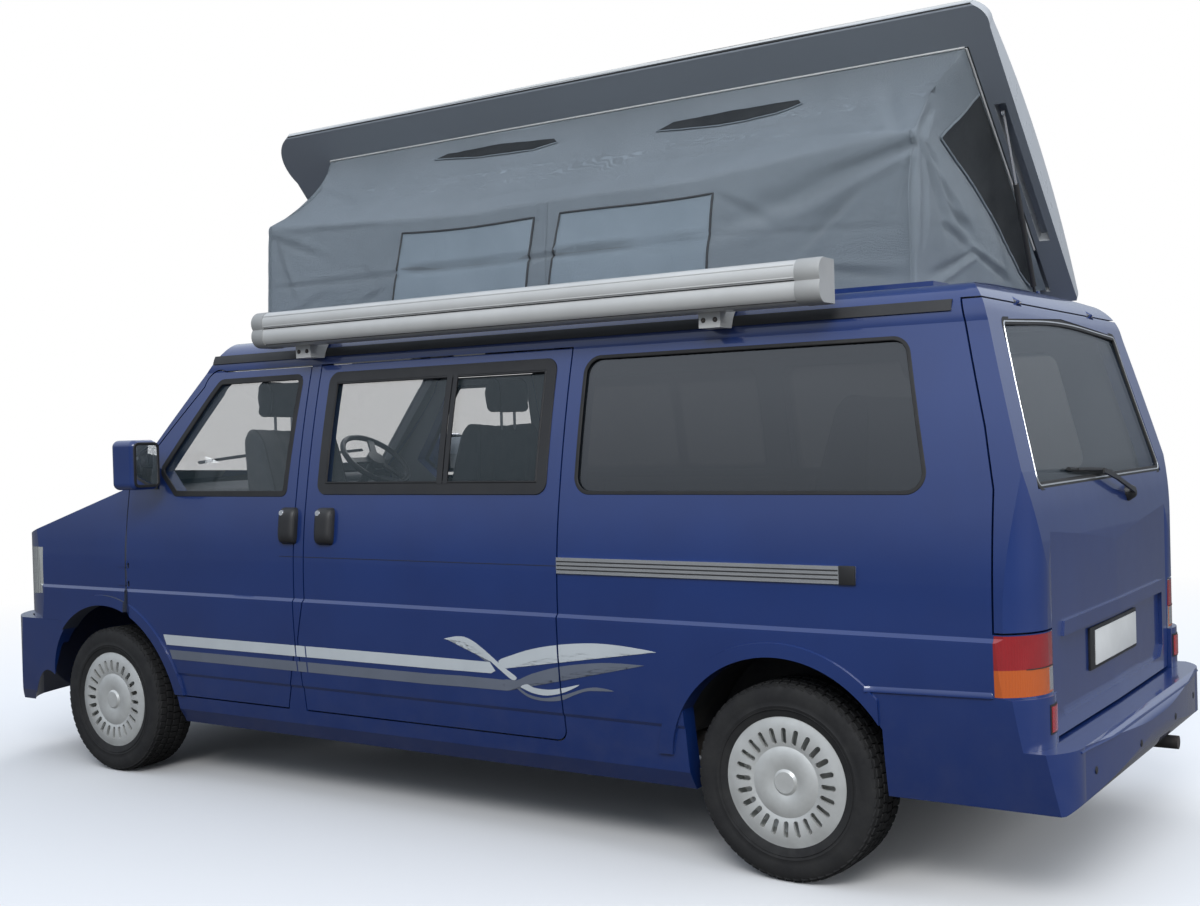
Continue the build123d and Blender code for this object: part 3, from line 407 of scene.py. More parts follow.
def roundedLoop(corners, radii, step=0.012, longest=0.05):
    # closed line of points with rounded corners
    loop = []
    count = len(corners)
    corners = [Vector(c) for c in corners]
    for index, here in enumerate(corners):
        toBack = (corners[index - 1] - here).normalized()
        toNext = (corners[(index + 1) % count] - here).normalized()
        radius = radii[index] if isinstance(radii, tuple) else radii
        half = toBack.angle(toNext) / 2
        reach = radius / math.tan(half)
        centre = here + (toBack + toNext).normalized() * (radius / math.sin(half))
        start = here + toBack * reach - centre
        total = start.angle_signed(here + toNext * reach - centre)
        pieces = max(3, int(abs(total) * radius / step * 2))
        loop += [centre + Matrix.Rotation(-total * k / pieces, 2) @ start for k in range(pieces + 1)]
    dense = []
    for here, after in zip(loop, loop[1:] + loop[:1]):
        spans = max(1, int((after - here).length / longest))
        dense += [here.lerp(after, k / spans) for k in range(spans)]
    return [tuple(p) for i, p in enumerate(dense) if (p - dense[i - 1]).length > 1e-5]


def smoothLine(points, spans=6, closed=False):
    # curve through the points
    count = len(points)
    result = []
    for index in range(count if closed else count - 1):
        picks = [(index + k) % count if closed else min(max(index + k, 0), count - 1)
                 for k in (-1, 0, 1, 2)]
        for t in (k / spans for k in range(spans)):
            result.append(tuple(
                0.5 * (2 * b + (c - a) * t + (2 * a - 5 * b + 4 * c - d) * t * t
                       + (3 * b - a - 3 * c + d) * t ** 3)
                for a, b, c, d in zip(*(points[pick] for pick in picks))))
    return result if closed else result + [tuple(points[-1])]


# The skin of the body as the CAD has it, for pieces that lie on it
def treeOf(*names):
    vertices, faces = [], []
    for mesh in (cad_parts[name].data for name in names):
        shift = len(vertices)
        vertices.extend(v.co.copy() for v in mesh.vertices)
        faces.extend(tuple(i + shift for i in p.vertices) for p in mesh.polygons)
    return BVHTree.FromPolygons(vertices, faces)


# Arcs of the body's side, three points of y and z each
sideArcs = (
    ((0.868, 0.312), (0.883, 0.394), (0.892, 0.462)),
    ((0.900, 0.474), (0.917, 0.620), (0.927, 0.800)),
    ((0.917, 0.824), (0.912, 1.030), (0.887, 1.233)),
    ((0.887, 1.233), (0.840, 1.490), (0.778, 1.750)),
    ((0.778, 1.750), (0.745, 1.838), (0.648, 1.876)),
)


def circleThrough(a, b, c):
    d = 2 * (a[0] * (b[1] - c[1]) + b[0] * (c[1] - a[1]) + c[0] * (a[1] - b[1]))
    sa, sb, sc = (p[0] ** 2 + p[1] ** 2 for p in (a, b, c))
    x = (sa * (b[1] - c[1]) + sb * (c[1] - a[1]) + sc * (a[1] - b[1])) / d
    y = (sa * (c[0] - b[0]) + sb * (a[0] - c[0]) + sc * (b[0] - a[0])) / d
    return x, y, math.hypot(a[0] - x, a[1] - y)


sideCircles = [(arc[0], arc[2], circleThrough(*arc)) for arc in sideArcs]


def sideY(z):
    for low, high, (cy, cz, radius) in sideCircles:
        if z < low[1]:
            return low[0]
        if z <= high[1]:
            return cy + math.sqrt(max(radius ** 2 - (z - cz) ** 2, 0))
    return sideCircles[-1][1][0]


def sideNormal(z):
    slope = (sideY(z + 0.01) - sideY(z - 0.01)) / 0.02
    return Vector((0, 1, -slope)).normalized()


def onSide(x, z, lift=0.0):
    return Vector((x, sideY(z), z)) + sideNormal(z) * lift


print("helpers ready")


# Canvas of the elevating roof: one sheet wound round four walls, from the curb up to the bead
canvasValues = {
    "rear": (-2.020, -2.034, -2.072),
    "front": (0.918, 0.898, 0.868),
    "nearWall": 0.602,
    "farWall": -0.614,
    "base": 1.8965,
    "bead": (0.2395, 2.7015),
    "farTop": 1.948,
    "stepsAround": (230, 84, 60, 84),
    "stepsUp": 74,
    "foldShare": 0.56,
    "sag": 0.016,
    "creaseGain": 1.7,
}


def foldHeight(x):
    # the fold between the upright wall and the sloping one hangs a little in the middle
    rear, front = canvasValues["rear"][1], canvasValues["front"][1]
    share = (x - rear) / (front - rear)
    return 2.318 + 0.062 * abs(share * 2 - 1) ** 2.2 + 0.006 * math.sin(share * 17)


def wallEnd(end, level):
    low, fold, high = canvasValues[end]
    bow = math.sin(math.pi * max(level - 1, 0)) * (-0.042 if low > 0 else 0.022)
    return low + (fold - low) * min(level, 1) + (high - fold) * max(level - 1, 0) + bow


def nearCorner(x, level):
    # level runs 0 at the base, 1 at the fold, 2 at the bead
    c = canvasValues
    if level <= 1:
        return Vector((x, c["nearWall"], c["base"] + (foldHeight(x) - c["base"]) * level))
    return Vector((x, c["nearWall"], foldHeight(x))).lerp(Vector((x, *c["bead"])), level - 1)


def farCorner(x, level):
    c = canvasValues
    return Vector((x, c["farWall"], c["base"] + (c["farTop"] - c["base"]) * level / 2))


def canvasPoint(wall, u, level):
    # wall 0 near, 1 rear, 2 far, 3 front; u runs 0 to 1 along it, front to rear on the near wall
    rearX, frontX = wallEnd("rear", level), wallEnd("front", level)
    if wall == 0:
        return nearCorner(frontX + (rearX - frontX) * u, level)
    if wall == 1:
        return nearCorner(rearX, level).lerp(farCorner(rearX, level), u)
    if wall == 2:
        return farCorner(rearX + (frontX - rearX) * u, level)
    return farCorner(frontX, level).lerp(nearCorner(frontX, level), u)


# Creases on the near wall, from x, z to x, z, depth and width in millimetres; then on the rear wall, y for x
nearCreases = (
    (-2031, 2340, -1286, 2135, 11, 24), (-2002, 2321, -1497, 2147, 8, 20),
    (-1770, 2155, -1676, 2085, 4, 9), (-2030, 2344, -1948, 2090, 8, 15), (-1263, 2120, -1996, 2080, 3, 7),
    (-1704, 1966, -2010, 1905, 7, 15), (-2031, 2340, -1629, 2266, 6, 15), (755, 2333, 205, 2304, 3, 9),
    (844, 2107, 199, 2108, 5, 10), (184, 2112, -488, 2116, 8, 9), (-488, 2116, -1075, 2115, 8, 9),
    (-991, 2103, -1262, 2110, 7, 10), (390, 2011, 243, 2048, 5, 8), (355, 2153, 285, 2094, 4, 8),
    (852, 2298, 767, 2056, 6, 13), (880, 2330, 560, 2200, 5, 14), (860, 1960, 560, 2060, 4, 12),
    (-1320, 2250, -1560, 2110, 4, 14), (-1860, 2230, -1560, 2000, 6, 16), (-545, 2300, -530, 2200, 3, 8),
    (-560, 2230, -575, 2120, 3, 8),
)
rearCreases = (
    (537, 2354, 416, 2277, 8, 12), (552, 2306, 540, 2039, 7, 14), (491, 2287, 435, 2191, 6, 10),
    (344, 2175, 155, 2108, 7, 12), (89, 2036, 492, 1916, 8, 13), (89, 2036, -295, 1959, 7, 12),
    (375, 2105, 132, 2041, 6, 12), (401, 2487, 560, 2369, 8, 14), (560, 2340, 300, 2040, 8, 20),
    (420, 2250, 60, 2060, 6, 18),
)
# Creases of the sloping part of the near wall, with thousandths of its height for z
upperCreases = (
    (600, 350, -100, 420, 4, 14), (820, 620, 500, 300, 6, 18), (-900, 400, -1700, 300, 5, 16),
    (-1100, 620, -1800, 450, 4, 14), (-2000, 50, -1500, 420, 6, 20), (-1960, 100, -1820, 750, 7, 22),
    (-100, 220, -900, 180, 4, 14), (300, 550, -500, 600, 3, 12),
)


def creaseDepth(rows, a, b, stretch=1.0):
    # valleys with a softly raised bank on one side
    total = 0.0
    for *ends, deep, wide in rows:
        a1, b1, a2, b2 = (end / 1000 for end in ends)
        alongA, alongB = a2 - a1, (b2 - b1) * stretch
        fromA, fromB = a - a1, (b - b1) * stretch
        length = math.hypot(alongA, alongB)
        t = (fromA * alongA + fromB * alongB) / length ** 2
        if t < -0.12 or t > 1.12:
            continue
        across = (fromA * alongB - fromB * alongA) / length * 1000
        across += 5 * noise.noise(Vector((a * 5, b * 5, deep)))
        if abs(across) > wide * 4.5:
            continue
        fade = min(1, (t + 0.12) / 0.2) * min(1, (1.12 - t) / 0.45)
        spread = wide * (0.7 + 0.7 * max(t, 0))
        valley = -math.exp(-(across / spread) ** 2)
        bank = 0.55 * math.exp(-((across - spread * 1.9) / (spread * 1.1)) ** 2)
        total += deep * 0.001 * fade * (valley + bank)
    return total * canvasValues["creaseGain"]


def noiseAt(point, scale, offset=(0, 0, 0)):
    return noise.noise(Vector([p * s + o for p, s, o in zip(point, scale, offset)]))


def canvasRelief(wall, level, point):
    pin = min(1, level / 0.10) * min(1, (2 - level) / 0.12)
    hold = 1 - 0.35 * math.exp(-((level - 1) / 0.04) ** 2)
    slack = noiseAt(point, (1.3, 1.3, 2.1), (0, 0, 3)) * canvasValues["sag"]
    upper = 0 if level < 1 else -0.030 * math.sin(math.pi * (level - 1)) * (1 if wall == 0 else 0.4)
    lower = 0 if level > 1 else 0.006 * math.sin(math.pi * level)
    folds = 0
    if wall == 0 and level <= 1:
        folds = creaseDepth(nearCreases, point.x, point.z)
    elif wall == 0:
        folds = creaseDepth(upperCreases, point.x, level - 1, 0.49)
    elif wall == 1:
        folds = creaseDepth(rearCreases, point.y, point.z)
    elif wall == 3:
        folds = creaseDepth(rearCreases, -point.y * 0.8 - 0.05, point.z) * 0.8
    soft = noiseAt(point, (6, 6, 7), (5, 0, 0)) * 0.0022
    small = noiseAt(point, (19, 19, 26)) * 0.0009
    stretched = noise.noise(Vector((point.x * 3.0 + point.z * 2, point.y * 3, point.z * 15 + 11)))
    pulled = -0.004 * max(0, 0.5 - abs(stretched) * 4) * (1 if level > 1 else 0.45)
    return (slack * hold + upper + lower + folds * hold + pulled * hold + soft + small) * pin


def canvasNormal(wall, level):
    if wall:
        return Vector(((-1, 0, 0), (0, -1, 0), (1, 0, 0))[wall - 1])
    if level < 0.96:
        return Vector((0, 1, 0))
    return Vector((0, 0.70, 0.71)) if level > 1.04 else Vector((0, 0.9, 0.42)).normalized()


def canvasAt(wall, u, level, lift=0.0):
    point = canvasPoint(wall, u, level)
    return point + canvasNormal(wall, level) * (canvasRelief(wall, level, point) + lift)


def makeCanvas():
    up, fold = canvasValues["stepsUp"], canvasValues["foldShare"]
    steps = canvasValues["stepsAround"]
    around = [(wall, k / count) for wall, count in enumerate(steps) for k in range(count)]
    work = bmesh.new()
    for share in (row / up for row in range(up + 1)):
        level = share / fold if share < fold else 1 + (share - fold) / (1 - fold)
        for wall, u in around:
            work.verts.new(canvasAt(wall, u, level))
    grid = work.verts[:]
    for face in gridFaces(up + 1, len(around), flip=True):
        work.faces.new([grid[i] for i in face])
    for _ in range(2):
        smoothVertices(work, grid[len(around):-len(around)], 0.35)
    piece = addPiece("roof_canvas_sheet", meshOf(work, "roof_canvas_sheet"), "canvas")
    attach(piece, "van")
    return piece


canvas = makeCanvas()
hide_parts("roof_canvas")


def planeCut(work, spot, normal, **settings):
    everything = work.verts[:] + work.edges[:] + work.faces[:]
    cut = bmesh.ops.bisect_plane(work, geom=everything, plane_co=spot, plane_no=normal, **settings)
    return cut["geom_cut"]


def sliceGrid(work, steps):
    # cuts a flat face into a grid along its first two axes
    for axis, step in enumerate(steps):
        values = [v.co[axis] for v in work.verts]
        low, normal = min(values), [0, 0, 0]
        normal[axis] = 1
        for k in range(1, int((max(values) - low) / step) + 1):
            spot = [0, 0, 0]
            spot[axis] = low + k * step
            planeCut(work, spot, normal)


def clothPatch(name, outline, wall, finish, lift, spacing=0.02):
    # patch on a canvas wall: outline in u and level, filled with a grid and laid on the cloth
    work = bmesh.new()
    work.faces.new([work.verts.new((u, level, 0)) for u, level in outline])
    sliceGrid(work, (spacing / 3.0, spacing / 0.46))
    for vertex in work.verts:
        vertex.co = canvasAt(wall, vertex.co.x, vertex.co.y, lift)
    piece = addPiece(name, meshOf(work, name), finish)
    solid = piece.modifiers.new("thickness", "SOLIDIFY")
    solid.thickness = 0.0008
    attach(piece, "van")
    return piece


def canvasTube(wall, line, lift, radius, sides=8, closed=False):
    return tubePart([canvasAt(wall, u, level, lift) for u, level in line], radius, sides, closed)


def nearShare(x):
    front, rear = canvasValues["front"][0], canvasValues["rear"][0]
    return (front - x) / (front - rear)


def nearLevel(x, z):
    return (z - canvasValues["base"]) / (foldHeight(x) - canvasValues["base"])


def rearPlace(y, z):
    # share and level of a point of the rear wall
    low, high = 0.0, 2.0
    for _ in range(40):
        level = (low + high) / 2
        near, far = nearCorner(wallEnd("rear", level), level), farCorner(0, level)
        u = (near.y - y) / (near.y - far.y)
        if near.z + (far.z - near.z) * u < z:
            low = level
        else:
            high = level
    return u, level


# Corners of the windows in x and z, vents in x and share of the sloping part, the rear flap in y and z
windowCorners = (
    pairs(150, 2272, -512, 2262, -480, 1985, 200, 1990),
    pairs(-632, 2266, -1284, 2262, -1262, 1985, -585, 1985),
)
ventOutlines = (
    pairs(268, 812, 198, 868, -88, 868, -365, 812, -390, 748, -272, 690, 15, 722),
    pairs(-863, 705, -926, 800, -1173, 828, -1452, 792, -1472, 732, -1380, 655, -1143, 636),
)
flapOutline = pairs(110, 2572, 205, 2478, 355, 2392, 250, 2352, 140, 2310, 10, 2254, -120, 2190, -280, 2106,
                    -432, 2027, -570, 1968, -520, 2020, -300, 2212, -60, 2424)
softPieces, trimPieces = [canvas], []
for number, corners in enumerate(windowCorners, 1):
    outline = [(nearShare(x), nearLevel(x, z)) for x, z in corners]
    softPieces.append(clothPatch(f"canvas_window_{number}", outline, 0, "canvasWindow", 0.0022))
    loop = []
    for a, b, spans in zip(outline, outline[1:] + outline[:1], (44, 20, 44, 20)):
        loop += [(a[0] + (b[0] - a[0]) * s / spans, a[1] + (b[1] - a[1]) * s / spans) for s in range(spans)]
    zipPart = canvasTube(0, loop, 0.003, 0.0042, closed=True)
    trimPieces.append(makePiece(f"canvas_window_zip_{number}", [zipPart], "zip"))
for number, outline in enumerate(ventOutlines, 1):
    middle = sum(s for x, s in outline) / len(outline)
    ring = [(nearShare(x), 1 + middle + (s - middle) * 0.72) for x, s in outline]
    softPieces.append(clothPatch(f"canvas_vent_{number}", ring, 0, "mesh", 0.0055))
    dense = [Vector(a).lerp(Vector(b), t / 8) for a, b in zip(ring, ring[1:] + ring[:1]) for t in range(8)]
    hem = canvasTube(0, dense, 0.0045, 0.0030, 6, True)
    trimPieces.append(makePiece(f"canvas_vent_hem_{number}", [hem], "canvas"))
flap = [rearPlace(y, z) for y, z in flapOutline]
softPieces.append(clothPatch("canvas_rear_mesh", flap, 1, "mesh", 0.006, 0.03))
hemLine = [rearPlace(y, z) for y, z in smoothLine(flapOutline[:3]) + smoothLine(flapOutline[2:10])]
trimPieces.append(makePiece("canvas_rear_hem", [canvasTube(1, hemLine, 0.004, 0.0045)], "canvas"))
seamRows = ((0.994, 0, 41, 0.002, 0.0028), (0.006, 0, 41, 0.002, 0.0028),
            (nearShare(-0.572), 2, 40, 0.0015, 0.0022))
seams = [canvasTube(0, [(u, k / 40) for k in range(low, high)], lift, radius, 6)
         for u, low, high, lift, radius in seamRows]
trimPieces.append(makePiece("canvas_seams", seams, "canvas"))
for piece in softPieces + trimPieces:
    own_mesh(piece)
print("canvas made, area", round(sum(p.area for p in canvas.data.polygons), 3))


# Places on the skin: a ray finds the surface, and a lift raises the point off it
rearTree = treeOf("tailgate", "tailgate_glass", "side_left", "side_right", "tail_lamps")
bumperTree = treeOf("front_bumper", "rear_bumper")
gateOut = Vector((-0.985, 0, 0.17))


def castPlace(tree, start, direction=(1, 0, 0)):
    return tree.ray_cast(Vector(start), Vector(direction))[0]


def castNear(tree, y, z, asides, spare):
    # a ray from behind that falls in a gap is moved aside, and the spare x serves where all of them miss
    for aside, upward in ((0, 0), *asides):
        point = castPlace(tree, (-rayStart, y + aside, z + upward))
        if point is not None and point.x < rearFace:
            return Vector((point.x, y, z))
    return Vector((spare, y, z))


def onRear(y, z, lift=0.0):
    asides = pairs(9, 0, -9, 0, 0, 9, 0, -9, 9, 9, -9, -9)
    return castNear(rearTree, y, z, asides, -2.5) + gateOut * lift


def gateTerms(y, z):
    z = z - 1.5
    return (1, z, z * z, z ** 3, y * y, y ** 4, y * y * z, y * y * z * z)


def smoothGate():
    # one smooth surface through the tailgate and its glass, free of the gap between them
    found = []
    for i in range(-29, 30):
        for k in range(28):
            y, z = i * 0.025, 1.205 + k * 0.0215
            place = castPlace(rearTree, (-rayStart, y, z))
            if place is not None and place.x < rearFace and abs(y) < 0.80 - (z - 1.2) * 0.16:
                found.append((y, z, place.x))
    table = np.array([gateTerms(y, z) for y, z, x in found])
    depth = np.array([x for y, z, x in found])
    kept = np.ones(len(depth), bool)
    for limit in (0.03, 0.012, 0.006):
        shares = np.linalg.lstsq(table[kept], depth[kept], rcond=None)[0]
        kept = np.abs(table @ shares - depth) < limit
    print("smooth tailgate", int(kept.sum()), "of", len(depth))
    return shares


gateShares = smoothGate()


def onGate(y, z, lift=0.0):
    return Vector((float(np.dot(gateTerms(y, z), gateShares)), y, z)) + gateOut * lift


def skinPatch(name, outlines, finish, body, flipped=False, lift=0.0010, span=(-3, 3), steps=(0.03, 0.012)):
    # flat outlines laid on the side, cut to a span of x
    work = bmesh.new()
    for ring in outlines:
        work.faces.new([work.verts.new((x, z, 0)) for x, z in ring])
    bmesh.ops.triangulate(work, faces=work.faces[:])
    for limit, keepAbove in zip(span, (True, False)):
        planeCut(work, (limit, 0, 0), (1, 0, 0), clear_inner=keepAbove, clear_outer=not keepAbove)
    if not work.verts:
        work.free()
        return
    sliceGrid(work, steps)
    side = -1 if flipped else 1
    for vertex in work.verts:
        point = onSide(vertex.co.x, vertex.co.y, lift)
        vertex.co = (point.x, point.y * side, point.z)
    result = bmesh.ops.extrude_face_region(work, geom=work.faces[:])
    for vertex in [g for g in result["geom"] if isinstance(g, bmesh.types.BMVert)]:
        vertex.co.y -= 0.0008 * side
    bmesh.ops.recalc_face_normals(work, faces=work.faces)
    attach(addPiece(name, meshOf(work, name), finish, False), body)


def loopBand(loop, profile, place=onSide):
    # closed band along a flat loop; profile columns: distance inward from the loop, lift off the surface
    count = len(loop)
    area = sum(loop[k - 1][0] * loop[k][1] - loop[k][0] * loop[k - 1][1] for k in range(count))
    turn = 1 if area > 0 else -1
    vertices = []
    for k, here in enumerate(loop):
        along = (Vector(loop[(k + 1) % count]) - Vector(loop[k - 1])).normalized()
        inward = Vector((-along.y, along.x)) * turn
        spots = [(Vector(here) + inward * distance, lift) for distance, lift in profile]
        vertices += [place(spot.x, spot.y, lift) for spot, lift in spots]
    return vertices, gridFaces(count, len(profile), True)


# Stripes and waves along both sides; columns are x and z in millimetres
decalValues = {
    "grey": (
        pairs(1247, 572, -213.5, 572.5, -369, 576, -560, 575, -570, 536, -363, 535, -208.5, 532, 1236, 532),
        pairs(-560, 575, -621, 578, -691, 606, -805, 638, -914, 656, -1027, 667, -1164, 667, -1072, 659,
              -973, 646, -871, 622, -801, 600, -716, 576, -629, 555, -570, 536),
        pairs(-358, 694, -392, 695, -432, 681, -474, 655, -505, 636, -483, 639, -445, 661, -402, 680,
              -358, 691),
        pairs(-618, 549, -635, 546, -668, 530, -723, 522, -765, 527, -829, 542, -906, 568, -967, 578,
              -1034, 570, -972, 566, -919, 561, -863, 542, -813, 521, -750, 512, -694, 514, -654, 525),
    ),
    "white": (
        pairs(1276, 637, -222.5, 637, -505, 636, -527, 605, -508, 595, -218.5, 593, 1262, 593),
        pairs(-299, 708, -330, 716, -360, 721, -394, 721, -434, 708, -476, 684, -511, 660, -545, 636,
              -586, 610, -622, 587, -600, 578, -550, 610, -512, 637, -489, 656, -454, 682, -411, 700,
              -359, 705),
        pairs(-546, 643, -613, 669, -699, 695, -811, 716, -919, 728, -1012, 731, -1114, 726, -1214, 715,
              -1133, 712, -1043, 707, -911, 694, -808, 676, -696, 652, -579, 618),
        pairs(-666, 567, -693, 557, -755, 554, -818, 564, -894, 582, -823, 549, -752, 533, -697, 535,
              -656, 546, -636, 556),
    ),
}
decalSpans = {
    "left": (("front_door_left", 0.4840, 3), ("van", 0.4280, 0.4770), ("van", -0.8070, 0.4210),
             ("van", -3, -0.8140)),
    "right": (("front_door_right", 0.4840, 3), ("van", -3, 0.4770)),
}
for color, finish, lift in (("grey", "stripeGrey", 0.0010), ("white", "stripeWhite", 0.0013)):
    rings = [smoothLine(ring, 3, closed=True) if len(ring) > 8 else ring for ring in decalValues[color]]
    for side in sides:
        for number, (body, *span) in enumerate(decalSpans[side], 1):
            skinPatch(f"stripe_{color}_{side}_{number}", rings, finish, body, side == "right", lift, span)
# Painted shade: a thin black strip stands for the shadow of the crease from the handles to the sliding rail
creaseShadeSpans = (("van", 0.4280, 0.4770), ("van", -0.8070, 0.4210), ("front_door_left", 0.4840, 0.56))
for number, (body, low, high) in enumerate(creaseShadeSpans, 1):
    line = [(low, 0.9905), (high, 0.9905), (high, 0.9885), (low, 0.9885)]
    skinPatch(f"side_crease_{number}", [line], "blackRubber", body, False, 0.0007, (low, high))
# Ledge along the top of the bumper's side, from the rear arch to the tail lamp
hipTree = treeOf("side_left", "rear_bumper")
ledge = []
for x in (-2.500 + k * 0.0195 for k in range(29)):
    place = castPlace(hipTree, (x, 1.4, 0.6616 - (x + 2.5) * 0.024), (0, -1, 0))
    if place is not None:
        ledge.append(place)
ledgePart = sweepPart(ledge, Vector((0, 1, 0)), pairs(-2, -10, 6, -6, 6.5, -1, 0.5, 11, -2, 11))
for side in sides:
    makePiece(f"hip_ledge_{side}", sided([ledgePart], side), "body")
print("stripes laid")


# Windows: seals, frames and the divider; columns are the corners as x and z, then the corner radii
def flatSeal(outside, inside, lift):
    return pairs(-outside, 0.3, 2 - outside, lift, inside - 2, lift, inside, 0.3, inside, -3, -outside, -1)


windowLoops = {
    "frontDoor": (pairs(1207.5, 1237, 1318.5, 1336, 1060.5, 1655, 1010.5, 1711, 526.5, 1712, 546.5, 1237),
                  (0.018, 0.03, 0.05, 0.04, 0.03, 0.02)),
    "middle": (pairs(362.5, 1239, 362.5, 1716, -748.5, 1716, -748.5, 1239), 0.042),
    "quarter": (pairs(-872.5, 1239, -872.5, 1716, -2063.5, 1716, -2155.5, 1239), 0.062),
}
doorLoop, middleLoop, quarterLoop = (roundedLoop(*values) for values in windowLoops.values())
innerEdge = pairs(38, 3, 41, 6.5, 45, 6.5, 47, 1, 40, 0)
frameParts = [loopBand(middleLoop, flatSeal(4, 40, 4.5)), loopBand(middleLoop, innerEdge)]
heights = [1.275 + k * 0.0202 for k in range(21)]
normals = [sideNormal(z) for z in heights]
for x, wide in ((-0.262, 13), (-0.290, 10)):
    bar = pairs(0, -wide, 5, -wide, 6, 0, 5, wide, 0, wide)
    frameParts.append(sweepPart([onSide(x, z, 0.001) for z in heights], normals, bar))
doorSeal = loopBand(doorLoop, flatSeal(10, 14, 2.5))
quarterSeal = loopBand(quarterLoop, flatSeal(3, 10, 2))
for side in sides:
    for name, parts, finish, body in (
            ("door_window_seal", [doorSeal], "blackRubber", f"front_door_{side}"),
            ("slide_window_frame", frameParts, "blackPlastic", "van"),
            ("quarter_window_seal", [quarterSeal], "blackRubber", "van")):
        makePiece(f"{name}_{side}", sided(parts, side), finish, body)


# Tailgate: seal and bright line round the glass, plate on its holder, wiper
gateValues = {
    "glass": (pairs(648, 1759, 0, 1790, -648, 1759, -760, 1248, 760, 1248), (0.03, 6.0, 0.03, 0.03, 0.03)),
    "plate": ((-0.26, 0.26), (0.658, 0.770)),
    "wiperPivot": (-0.219, 1.190),
    "wiperTip": (0.350, 1.300),
    "bladeEnds": ((-0.060, 1.268), (0.420, 1.292)),
}
loop = roundedLoop(*gateValues["glass"])
makePiece("tailgate_seal", [loopBand(loop, flatSeal(9, 19, 4), onGate)], "blackRubber", "tailgate")
brightLine = pairs(4, 3.8, 5, 5.8, 9, 5.8, 10, 3.8)
makePiece("tailgate_bright_line", [loopBand(loop, brightLine, onGate)], "chrome", "tailgate")
(left, right), (low, high) = gateValues["plate"]
x = onRear(0, 0.715).x
makeBox("rear_plate_holder", "blackPlastic", (x - 0.006, left - 0.014, low - 0.012),
        (x + 0.004, right + 0.05, high + 0.012), body="tailgate")
makeBox("rear_plate", "plateWhite", (x - 0.009, left, low), (x - 0.0055, right, high), 0.0012, "tailgate")
pivot, tip = onRear(*gateValues["wiperPivot"]), onRear(*gateValues["wiperTip"])
armLine = [pivot + gateOut * 0.026, pivot.lerp(tip, 0.12) + gateOut * 0.034,
           pivot.lerp(tip, 0.40) + gateOut * 0.036 + Vector((0, 0, 0.012)),
           tip.lerp(pivot, 0.40) + gateOut * 0.030 + Vector((0, 0, 0.018))]
bladeStart, bladeEnd = (onRear(*place, 0.006) for place in gateValues["bladeEnds"])
blade = [bladeStart.lerp(bladeEnd, k / 12) for k in range(13)]
blade = [onRear(p.y, p.z, 0.007) for p in blade]
bow = [bladeStart.lerp(bladeEnd, 0.15 + 0.7 * k / 8) + gateOut * (0.012 + 0.016 * math.sin(math.pi * k / 8))
       for k in range(9)]
parts = [lathePart(pairs(-6, 1, -6, 30, 4, 30, 24, 21, 30, 15, 32, 1), pivot, gateOut),
         sweepPart(armLine, gateOut, barProfile(0.004, 0.008)),
         sweepPart(blade, gateOut, pairs(10, -3, 10, 3, 2, 6, -6, 1, -6, -1, 2, -6)),
         sweepPart(bow, gateOut, barProfile(0.003, 0.004))]
makePiece("rear_wiper", parts, "blackPlastic", "tailgate")
print("windows and tailgate dressed")


# Door handles: a curved black pull with a round lock
handleValues = {
    "height": 1.112,
    "wide": 0.092,
    "tall": 0.146,
    "deep": 0.036,
    "handles": (("front_door_handle_left", "front_door_left", 0.507, "left"),
                ("front_door_handle_right", "front_door_right", 0.507, "right"),
                ("slide_door_handle", "van", 0.306, "left")),
}


def handlePart(x):
    values = handleValues
    profile = ((-1.0, 0.0), (-0.97, 0.55), (-0.82, 0.86), (-0.4, 0.97), (0.1, 1.0), (0.55, 0.94),
               (0.86, 0.72), (0.97, 0.4), (1.0, 0.0))
    vertices = []
    for t in (-1 + 2 * k / 24 for k in range(25)):
        height = values["height"] + values["tall"] / 2 * t
        body = max((1 - min(abs(t), 1) ** 5) ** 0.5, 0.05)
        for across, lift in profile:
            reach = values["wide"] / 2 * across * (0.75 + 0.25 * body)
            rise = sideNormal(height) * lift * values["deep"] * body
            vertices.append(onSide(x, height, -0.002) + Vector((reach, 0, 0)) + rise)
    return vertices, gridFaces(25, len(profile)) + endFaces(25, len(profile))


for name, body, x, side in handleValues["handles"]:
    foot = onSide(x + 0.018, 1.160, 0.020)
    lock = lathePart(pairs(-4, 1, -4, 12.5, 12.5, 12, 15, 10.5, 15, 1), foot, sideNormal(1.160), 24)
    makePiece(name, sided([handlePart(x)], side), "blackPlastic", body, 50)
    makePiece(name + "_lock", sided([lock], side), "chrome", body)


# Mirrors: glass in the rear face and a black triangle at the foot
mirrorLow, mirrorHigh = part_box("mirror_left")
x, low, high = mirrorLow[0], mirrorHigh[2] - 0.188, mirrorHigh[2] - 0.022
glassPart = boxPart((x - 0.0015, 0.962, low), (x + 0.0015, 1.068, high), 0.001)
rim = roundedLoop([(0.962, low), (1.068, low), (1.068, high), (0.962, high)], 0.012)
rimBandRows = pairs(-12, -1, -11, 4, -2, 4, 2, 0.2)
rimPart = loopBand(rim, rimBandRows, lambda y, z, lift: Vector((mirrorLow[0] - lift, y, z)))
footOutline = pairs(1480, 1262, 1322, 1258, 1330, 1345, 1395, 1425)
for side in sides:
    body = f"front_door_{side}"
    makePiece(f"mirror_glass_{side}", sided([glassPart], side), "mirrorGlass", body)
    makePiece(f"mirror_rim_{side}", sided([rimPart], side), "blackPlastic", body)
    flipped = side == "right"
    skinPatch(f"mirror_foot_{side}", [footOutline], "blackPlastic", body, flipped, 0.0045, steps=(0.02, 0.02))
print("handles and mirrors dressed")
